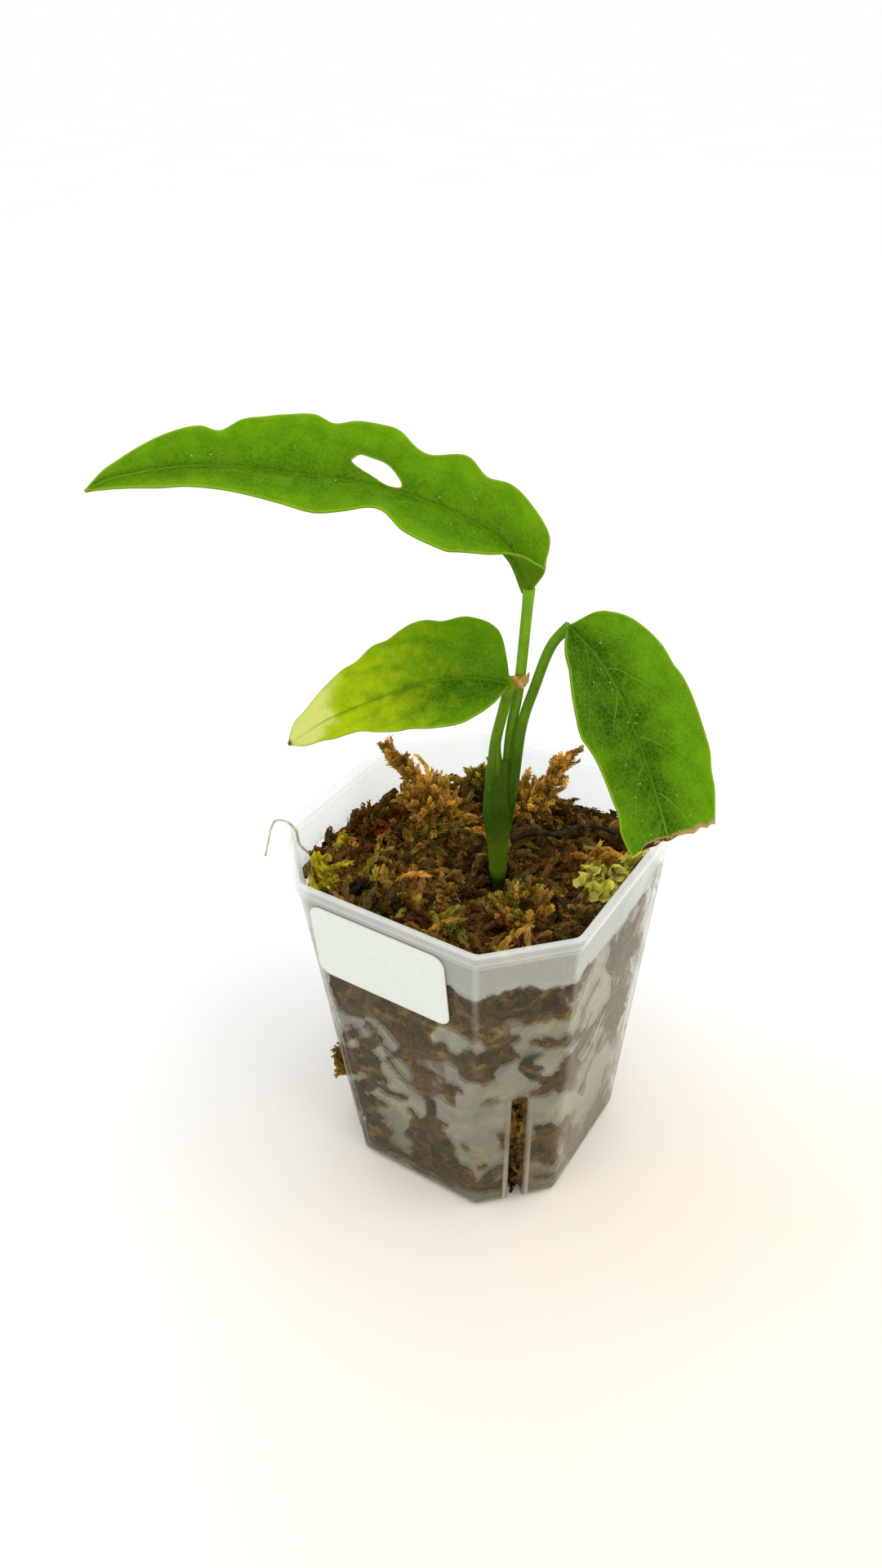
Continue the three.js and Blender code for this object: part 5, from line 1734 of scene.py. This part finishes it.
@dataclass
class Leaf:
    """One blade: a sheet folded along its midrib, with its rib beneath."""

    name: str
    node: str
    slot: str
    finish: Finish
    spine: Places
    faces: Places  # azimuth and elevation that it faces, along it
    curl: float  # how far the margins bend up, in degrees
    left: Half
    right: Half
    tones: Places  # painted shade of the fold: how light its foot and its far end are, from left to right
    veins: float  # how many side veins each half has
    ragged: float = 0.0  # how far its cut end is torn, to and fro
    hole: Places = ()  # its outline, in shares of the length and of the right half's width
    thick: float = 0.45
    rib: float = 1.1  # radius of the midrib at its foot
    scar_at: tuple[float, float] = (0.352, 0.1)  # of the brown spot beside the hole

    def surface(self, share: Array, across: Array) -> tuple[Array, Array, Array]:
        """Gives points of the blade.

        Args:
            share: Shares of its length.
            across: Shares of a half's width, less than 0 on the left.

        Returns:
            The points, the way up and each half's width, for every pair.
        """
        spine = np.array(self.spine, float)
        run = np.concatenate([[0], np.cumsum(np.linalg.norm(np.diff(spine, axis=0), axis=1))])
        places = [curve_at(run / run[-1], spine, np.clip(share + step, 0, 1)) for step in (0, 0.001, -0.001)]
        along = unit(places[1] - places[2])
        turn, rise = np.radians(self.faces).T
        facing = around(turn - TURN / 4, np.cos(rise), np.sin(rise))
        up = curve_at(np.linspace(0, 1, len(facing)), facing, share)
        up = unit(up - along * (along * up).sum(-1, keepdims=True))
        width, fold = np.where(across < 0, self.left.at(share), self.right.at(share))
        slope = fold + math.radians(self.curl) * np.abs(across) / 2
        aside, lift = np.cos(slope) * width * across, np.sin(slope) * width * np.abs(across)
        right = np.cross(along, up)
        points = places[0][:, None] + aside[..., None] * right[:, None] + lift[..., None] * up[:, None]
        return points, up, width

    def spot(self, share: float, across: float) -> Array:
        """Gives one point of the blade."""
        return self.surface(np.array([share]), np.array([across]))[0][0, 0]

    def make(self) -> None:
        """Builds the leaf."""
        even = np.linspace(-1, 1, 49)
        share, across = np.linspace(0, 1, 150)[:, None] ** 1.15, (np.sin(even * math.pi / 2) + even) / 2
        points, _, width = self.surface(share[:, 0], across)
        reach = np.abs(across)
        phase = self.veins * (share - 0.22 * reach - 0.24 * reach**2) + 0.4 * (across < 0)
        rib, rim = width * reach, width * (1 - reach)
        puff = 0.08 * np.cos(TURN * phase) * np.sin(math.pi * reach) - 0.22 * np.exp(-((rib / 0.5) ** 2))
        normal = unit(np.cross(np.gradient(points, axis=1), np.gradient(points, axis=0)))
        points = points + puff[..., None] * normal
        if self.ragged:
            tear = self.ragged * (noise(np.linspace(0, 14, len(even)), 3.0, 7.0) - 0.5) * 2
            along = unit(np.gradient(points, axis=0))
            points = points + (smoothstep(share, 0.93, 1.0) * tear)[..., None] * along
        else:
            rim = np.minimum(rim, (1 - share) * 60)
        if self.hole:
            ring = self.hole_outline()
            rim = np.minimum(rim, np.linalg.norm(points[:, :, None] - ring[::3], axis=-1).min(axis=2))
        # painted shade of the fold: how light each place is across the blade, from its foot to its far end
        foot, end = (np.interp(across, (-1, -0.5, -0.12, 0.12, 0.5, 1), tone) for tone in self.tones)
        tone = foot + (end - foot) * share
        values = {"rib": rib, "rim": rim, "vein": phase, "side": across, "share": share, "tone": tone}
        piece = lofted(self.name, points, False, **values)
        sheet, outward = read(piece), np.empty(len(piece.data.vertices) * 3)
        piece.data.vertices.foreach_get("normal", outward)
        modify(piece, "SOLIDIFY", thickness=self.thick * MM, offset=0)
        solid = read(piece)
        base = np.arange(len(solid)) % len(sheet)
        lower = ((solid - sheet[base]) * outward.reshape(-1, 3)[base]).sum(axis=1) < 0
        paint(piece, under=lower)
        if self.hole:
            paint(piece, scar=smoothstep(np.linalg.norm(solid - self.spot(*self.scar_at), axis=1), 1.1, 0.5))
            middle = ring.mean(axis=0)
            through = 4 * unit(np.linalg.svd(ring - middle)[2][2])
            cut(piece, lofted("hole_cutter", capped([ring - through, ring + through])))
        else:
            paint(piece, scar=0)
        join(piece, self.midrib())
        dress(piece, self.finish, self.node)

    def hole_outline(self) -> Array:
        """Gives the hole's outline as a smooth ring of points.

        Returns:
            The ring, without its first point again at the end.
        """
        loop = np.array(self.hole + self.hole[:1], float)
        steps = np.arange(-2, len(loop) + 2) / (len(loop) - 1)
        wrapped = np.vstack([loop[-3:-1], loop, loop[1:3]])
        smooth = curve_at(steps, wrapped, np.linspace(0, 1, 60, endpoint=False))
        return np.array([self.spot(share, across) for share, across in smooth])

    def midrib(self) -> Piece:
        """Builds the rib beneath the blade, which carries on its stalk.

        Returns:
            The rib.
        """
        share = np.linspace(0, 0.97, 90)
        points, up, _ = self.surface(share, np.array([0.0]))
        radii = self.rib * (1 - share) ** 0.8 + 0.12
        path = points[:, 0] - up * (radii * 0.62 + 0.1)[:, None]
        rib = lofted("midrib", tube(path, radii, 14))
        nearest = np.linalg.norm(read(rib)[:, None] - path[::5], axis=2).argmin(axis=1) * 5 / len(path)
        # the rib's painted shade is 0.3
        paint(rib, rib=0.3, rim=9.0, vein=0.0, side=0.0, tone=0.3, under=0.45, scar=0.0, share=nearest * 0.8)
        return rib


@dataclass
class DryScrap:
    """The torn scrap of dry sheath curled round the top leaf's stalk."""

    middle: tuple[float, float, float] = (9.95, 0.8, 136.7)
    radius: float = 1.75
    half: float = 1.6  # half its height
    spread: float = 115.0  # how far round it reaches to either side, in degrees
    flare: float = 0.8  # how far its ends bend outwards
    finish: Finish = DryFinish("dry_paper", srgb("e0c06a"), srgb("a07630"))

    def make(self) -> None:
        """Builds the scrap."""
        part, level = np.linspace(-1, 1, 61), np.linspace(-1, 1, 9)[:, None]
        angle = np.radians(part * self.spread) + VIEW - TURN / 4
        torn = 0.75 + 0.45 * noise(part * 9 + 3, 1.0, 2.0)
        tall = self.half * (1 - 0.5 * np.abs(part)) * torn
        crumple = 0.3 * (noise(part * 7, level * 2, 4.0) - 0.5)
        reach = self.radius + self.flare * np.abs(part) ** 3 + crumple
        piece = lofted("dry_scrap", self.middle + around(angle, reach, level * tall), False)
        modify(piece, "SOLIDIFY", thickness=0.3 * MM, offset=0)
        dress(piece, self.finish, "dried_sheath")


STALKS = (
    Stalk(
        "stalk_left", "petiole_left",
        ((4.4, -2.6, 102.3), (4.2, -1.1, 108.9), (5, -0.3, 119.7), (7.5, -1.3, 128.9), (10.1, -3.2, 136.9)),
        3.0, 2.3, ("385a08", "6a9418"), True,
    ),
    Stalk(
        "stalk_top", "petiole_top",
        (
            (5.5, 1.5, 102.3), (6.6, 2, 112), (7.6, 1.9, 122), (9.9, 1.2, 134.2), (11.9, 0.3, 150),
            (12.4, 0.7, 158),
        ),
        2.4, 2.3, ("456c0a", "7ba420"),
    ),
    Stalk(
        "stalk_right", "petiole_right",
        (
            (8.3, 0.4, 102.3), (9.3, 0.5, 110), (10.9, 1.3, 125.7), (13, 2.3, 134.1), (16.5, 3.6, 145.3),
            (19.6, 4.8, 149.6),
        ),
        2.5, 2.2, ("2a4606", "669216"),
    ),
)

LEAVES = (
    Leaf(
        "blade_top", "leaf_top", "leaf_green",
        LeafFinish("leaf_top", scars=0.05, rib_light=0.85, vein_light=0.3),
        (
            (12.3, 0.6, 157.6), (7.5, 2, 164), (-1.5, 1.5, 169), (-17.5, -3.5, 174.5), (-35, -11.5, 177.5),
            (-52.5, -22, 179.5), (-65.5, -32, 178), (-70, -36.5, 176),
        ),
        ((43.8, 58), (37.8, 58), (33.8, 56), (29.8, 55)), -12,
        Half(
            (
                0, 0.02, 0.04, 0.06, 0.1, 0.14, 0.2, 0.3, 0.36, 0.39,
                0.44, 0.5, 0.58, 0.68, 0.78, 0.84, 0.9, 0.96, 1,
            ),
            (1.5, 5.2, 6.7, 7.8, 10, 11.7, 12.9, 11.5, 7.2, 7, 9.6, 11.3, 9.4, 7.2, 5.9, 5.4, 3.9, 2.3, 0),
            (0, 0.02, 0.04, 0.06, 0.08, 0.1, 0.14, 0.2, 0.5, 1),
            (125, 130, 102, 81, 60, 46, 35, 28, 22, 16),
        ),
        Half(
            (
                0, 0.02, 0.04, 0.07, 0.11, 0.16, 0.2, 0.25, 0.31, 0.34, 0.38, 0.42,
                0.46, 0.5, 0.54, 0.6, 0.64, 0.68, 0.72, 0.76, 0.82, 0.88, 0.94, 1,
            ),
            (
                0.4, 4.2, 5.4, 8.2, 9.6, 10.8, 9.8, 12, 9.5, 10, 12.6, 12.9,
                12.7, 11.5, 12.9, 12.1, 11.2, 10.2, 7.6, 8.6, 7.4, 5.3, 2.8, 0,
            ),
            (0, 0.1, 0.3, 0.7, 1),
            (35, 25, 24, 20, 15),
        ),
        ((0.75, 0.35, 0.2, 0.3, 0.5, 0.8), (1.0, 0.45, 0.3, 0.3, 0.45, 0.9)), 5.0,
        hole=(
            (0.345, 0.12), (0.35, 0.22), (0.368, 0.33), (0.39, 0.4), (0.415, 0.43), (0.44, 0.45),
            (0.453, 0.35), (0.45, 0.3), (0.435, 0.23), (0.408, 0.15), (0.378, 0.07), (0.358, 0.07),
        ),
    ),
    Leaf(
        "blade_left", "leaf_left", "leaf_yellowing",
        LeafFinish(
            "leaf_left", srgb("5c8a06"), srgb("305602"), rib_light=0.45, vein_light=0.15,
            yellow_from=0.2, yellow_full=0.86, cream_from=0.74,
        ),
        (
            (10, -3, 137), (5, -7, 139), (-0.5, -12, 139.5), (-6.5, -17.5, 138.5), (-13, -23.5, 136),
            (-19, -28.5, 133), (-25.5, -34, 128),
        ),
        ((41.8, 60), (33.8, 57), (25.8, 52)), -8,
        Half(
            (0, 0.03, 0.08, 0.16, 0.26, 0.38, 0.48, 0.54, 0.62, 0.68, 0.74, 0.8, 0.86, 0.94, 1),
            (0.4, 3.2, 7, 9.6, 11.5, 11.1, 9.6, 9, 7.3, 5.7, 5.2, 4.8, 3.7, 2.4, 0),
            (0, 0.15, 1), (35, 16, 8),
        ),
        Half(
            (0, 0.03, 0.08, 0.16, 0.25, 0.31, 0.36, 0.41, 0.46, 0.52, 0.6, 0.67, 0.74, 0.86, 0.94, 1),
            (0.4, 5, 11.1, 13.8, 13.2, 14, 13.8, 12.8, 11.6, 11.3, 9.4, 8.8, 7.3, 4.4, 3, 0),
            (0, 0.15, 1), (30, 14, 8),
        ),
        ((0.7, 0.15, 0.0, 0.4, 0.6, 0.9), (0.9, 0.5, 0.3, 0.6, 0.8, 1.0)), 4.0,
    ),
    Leaf(
        "blade_right", "leaf_right", "leaf_green",
        LeafFinish(
            "leaf_right", srgb("5e8c05"), srgb("284b01"), srgb("709c26"), rib_light=0.55, vein_light=0.55,
            scars=0.22, dead=True,
        ),
        (
            (19.5, 4.5, 149.5), (26.5, 4, 144.5), (33, 2.5, 137.5), (39, 0.5, 128.5), (43.5, -1, 120),
            (48, -2.5, 110.5),
        ),
        ((53.8, 50), (47.8, 44), (43.8, 40)), -8,
        Half(
            (0, 0.03, 0.08, 0.16, 0.26, 0.34, 0.4, 0.5, 0.62, 0.7, 0.78, 0.86, 1),
            (0.4, 5.7, 8.6, 11.4, 13, 13.2, 13.9, 14.1, 13.9, 13.7, 12.8, 12.3, 10.4),
            (0, 0.2, 1), (30, 14, 8),
        ),
        Half(
            (0, 0.03, 0.08, 0.16, 0.26, 0.38, 0.43, 0.46, 0.49, 0.56, 0.68, 0.74, 0.82, 0.89, 1),
            (0.4, 4.9, 7.9, 8.6, 10.4, 11.8, 12.0, 11.9, 11.4, 10.5, 9.9, 9.7, 9.4, 9.9, 9.1),
            (0, 0.2, 1), (50, 18, 8),
        ),
        ((0.85, 0.6, 0.08, 0.0, 0.0, 0.35), (1.0, 0.78, 0.28, 0.25, 0.45, 0.7)), 3.6, 0.45,
    ),
)


@dataclass
class Studio:
    """The floor, the light and the camera at the photograph's angle."""

    elevation: float = 34.3
    roll: float = -2.0
    lens: float = 27.0
    eye: tuple[float, float, float] = (117.1, -190.0, 259.1)  # where the camera stands

    def camera(self) -> None:
        """Sets up the camera."""
        rise, roll = math.radians(self.elevation), math.radians(self.roll)
        right = Vector(RIGHT)
        back = Vector(FRONT) * math.cos(rise) + Vector((0, 0, math.sin(rise)))
        up = back.cross(right)
        side = right * math.cos(roll) + up * math.sin(roll)
        top = up * math.cos(roll) - right * math.sin(roll)
        data = bpy.data.cameras.new("camera")
        data.lens, data.sensor_width = self.lens, 36.0
        data.clip_start, data.clip_end = 0.01, 600.0
        camera = bpy.data.objects.new("camera", data)
        bpy.context.collection.objects.link(camera)
        turn = Matrix((side, top, back)).transposed().to_4x4()
        camera.matrix_world = Matrix.Translation(Vector(self.eye) * MM) @ turn
        bpy.context.scene.camera = camera

    def light(self) -> None:
        """Sets up the soft light."""
        world = bpy.data.worlds.new("studio")
        bpy.context.scene.world = world
        world.use_nodes = True
        sky = {"Color": (0.985, 0.99, 1.0), "Strength": 1.02}
        Graph(world.node_tree).feed(world.node_tree.nodes["Background"], sky)
        for name, place, size, energy, colour in (
            ("key", (0.6, 0.1, 0.7), 0.8, 2.6, (1.0, 0.98, 0.94)),
            ("fill", (-0.2, -0.7, 0.6), 0.7, 0.8, (0.96, 0.98, 1.0)),
        ):
            data = bpy.data.lights.new(name, "AREA")
            data.size, data.energy, data.color = size, energy, colour
            lamp = bpy.data.objects.new(name, data)
            bpy.context.collection.objects.link(lamp)
            lamp.location = place
            way = Vector(place) - Vector((0, 0, 0.09))
            lamp.rotation_euler = way.to_track_quat("Z", "Y").to_euler()
        bpy.context.scene.view_settings.view_transform = "Standard"

    def floor(self) -> None:
        """Lays the floor."""
        floor = added(bpy.ops.mesh.primitive_plane_add, size=400, location=(0, 0, -0.0003))
        floor.name = "floor"
        bpy.ops.object.transform_apply(location=True, rotation=True, scale=True)
        floor.data.materials.append(FloorFinish().make())


def main() -> None:
    """Builds every piece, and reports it."""
    logging.basicConfig(level=logging.INFO, format="%(message)s")
    studio = Studio()
    studio.camera()
    studio.light()
    studio.floor()
    pot = Pot()
    moss = MossBed(pot)
    pot.make(moss)
    for part in (Sticker(pot), moss, Litter(moss), Stem(), *STALKS, *LEAVES, DryScrap()):
        part.make()
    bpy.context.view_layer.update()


if __name__ == "__main__":
    main()
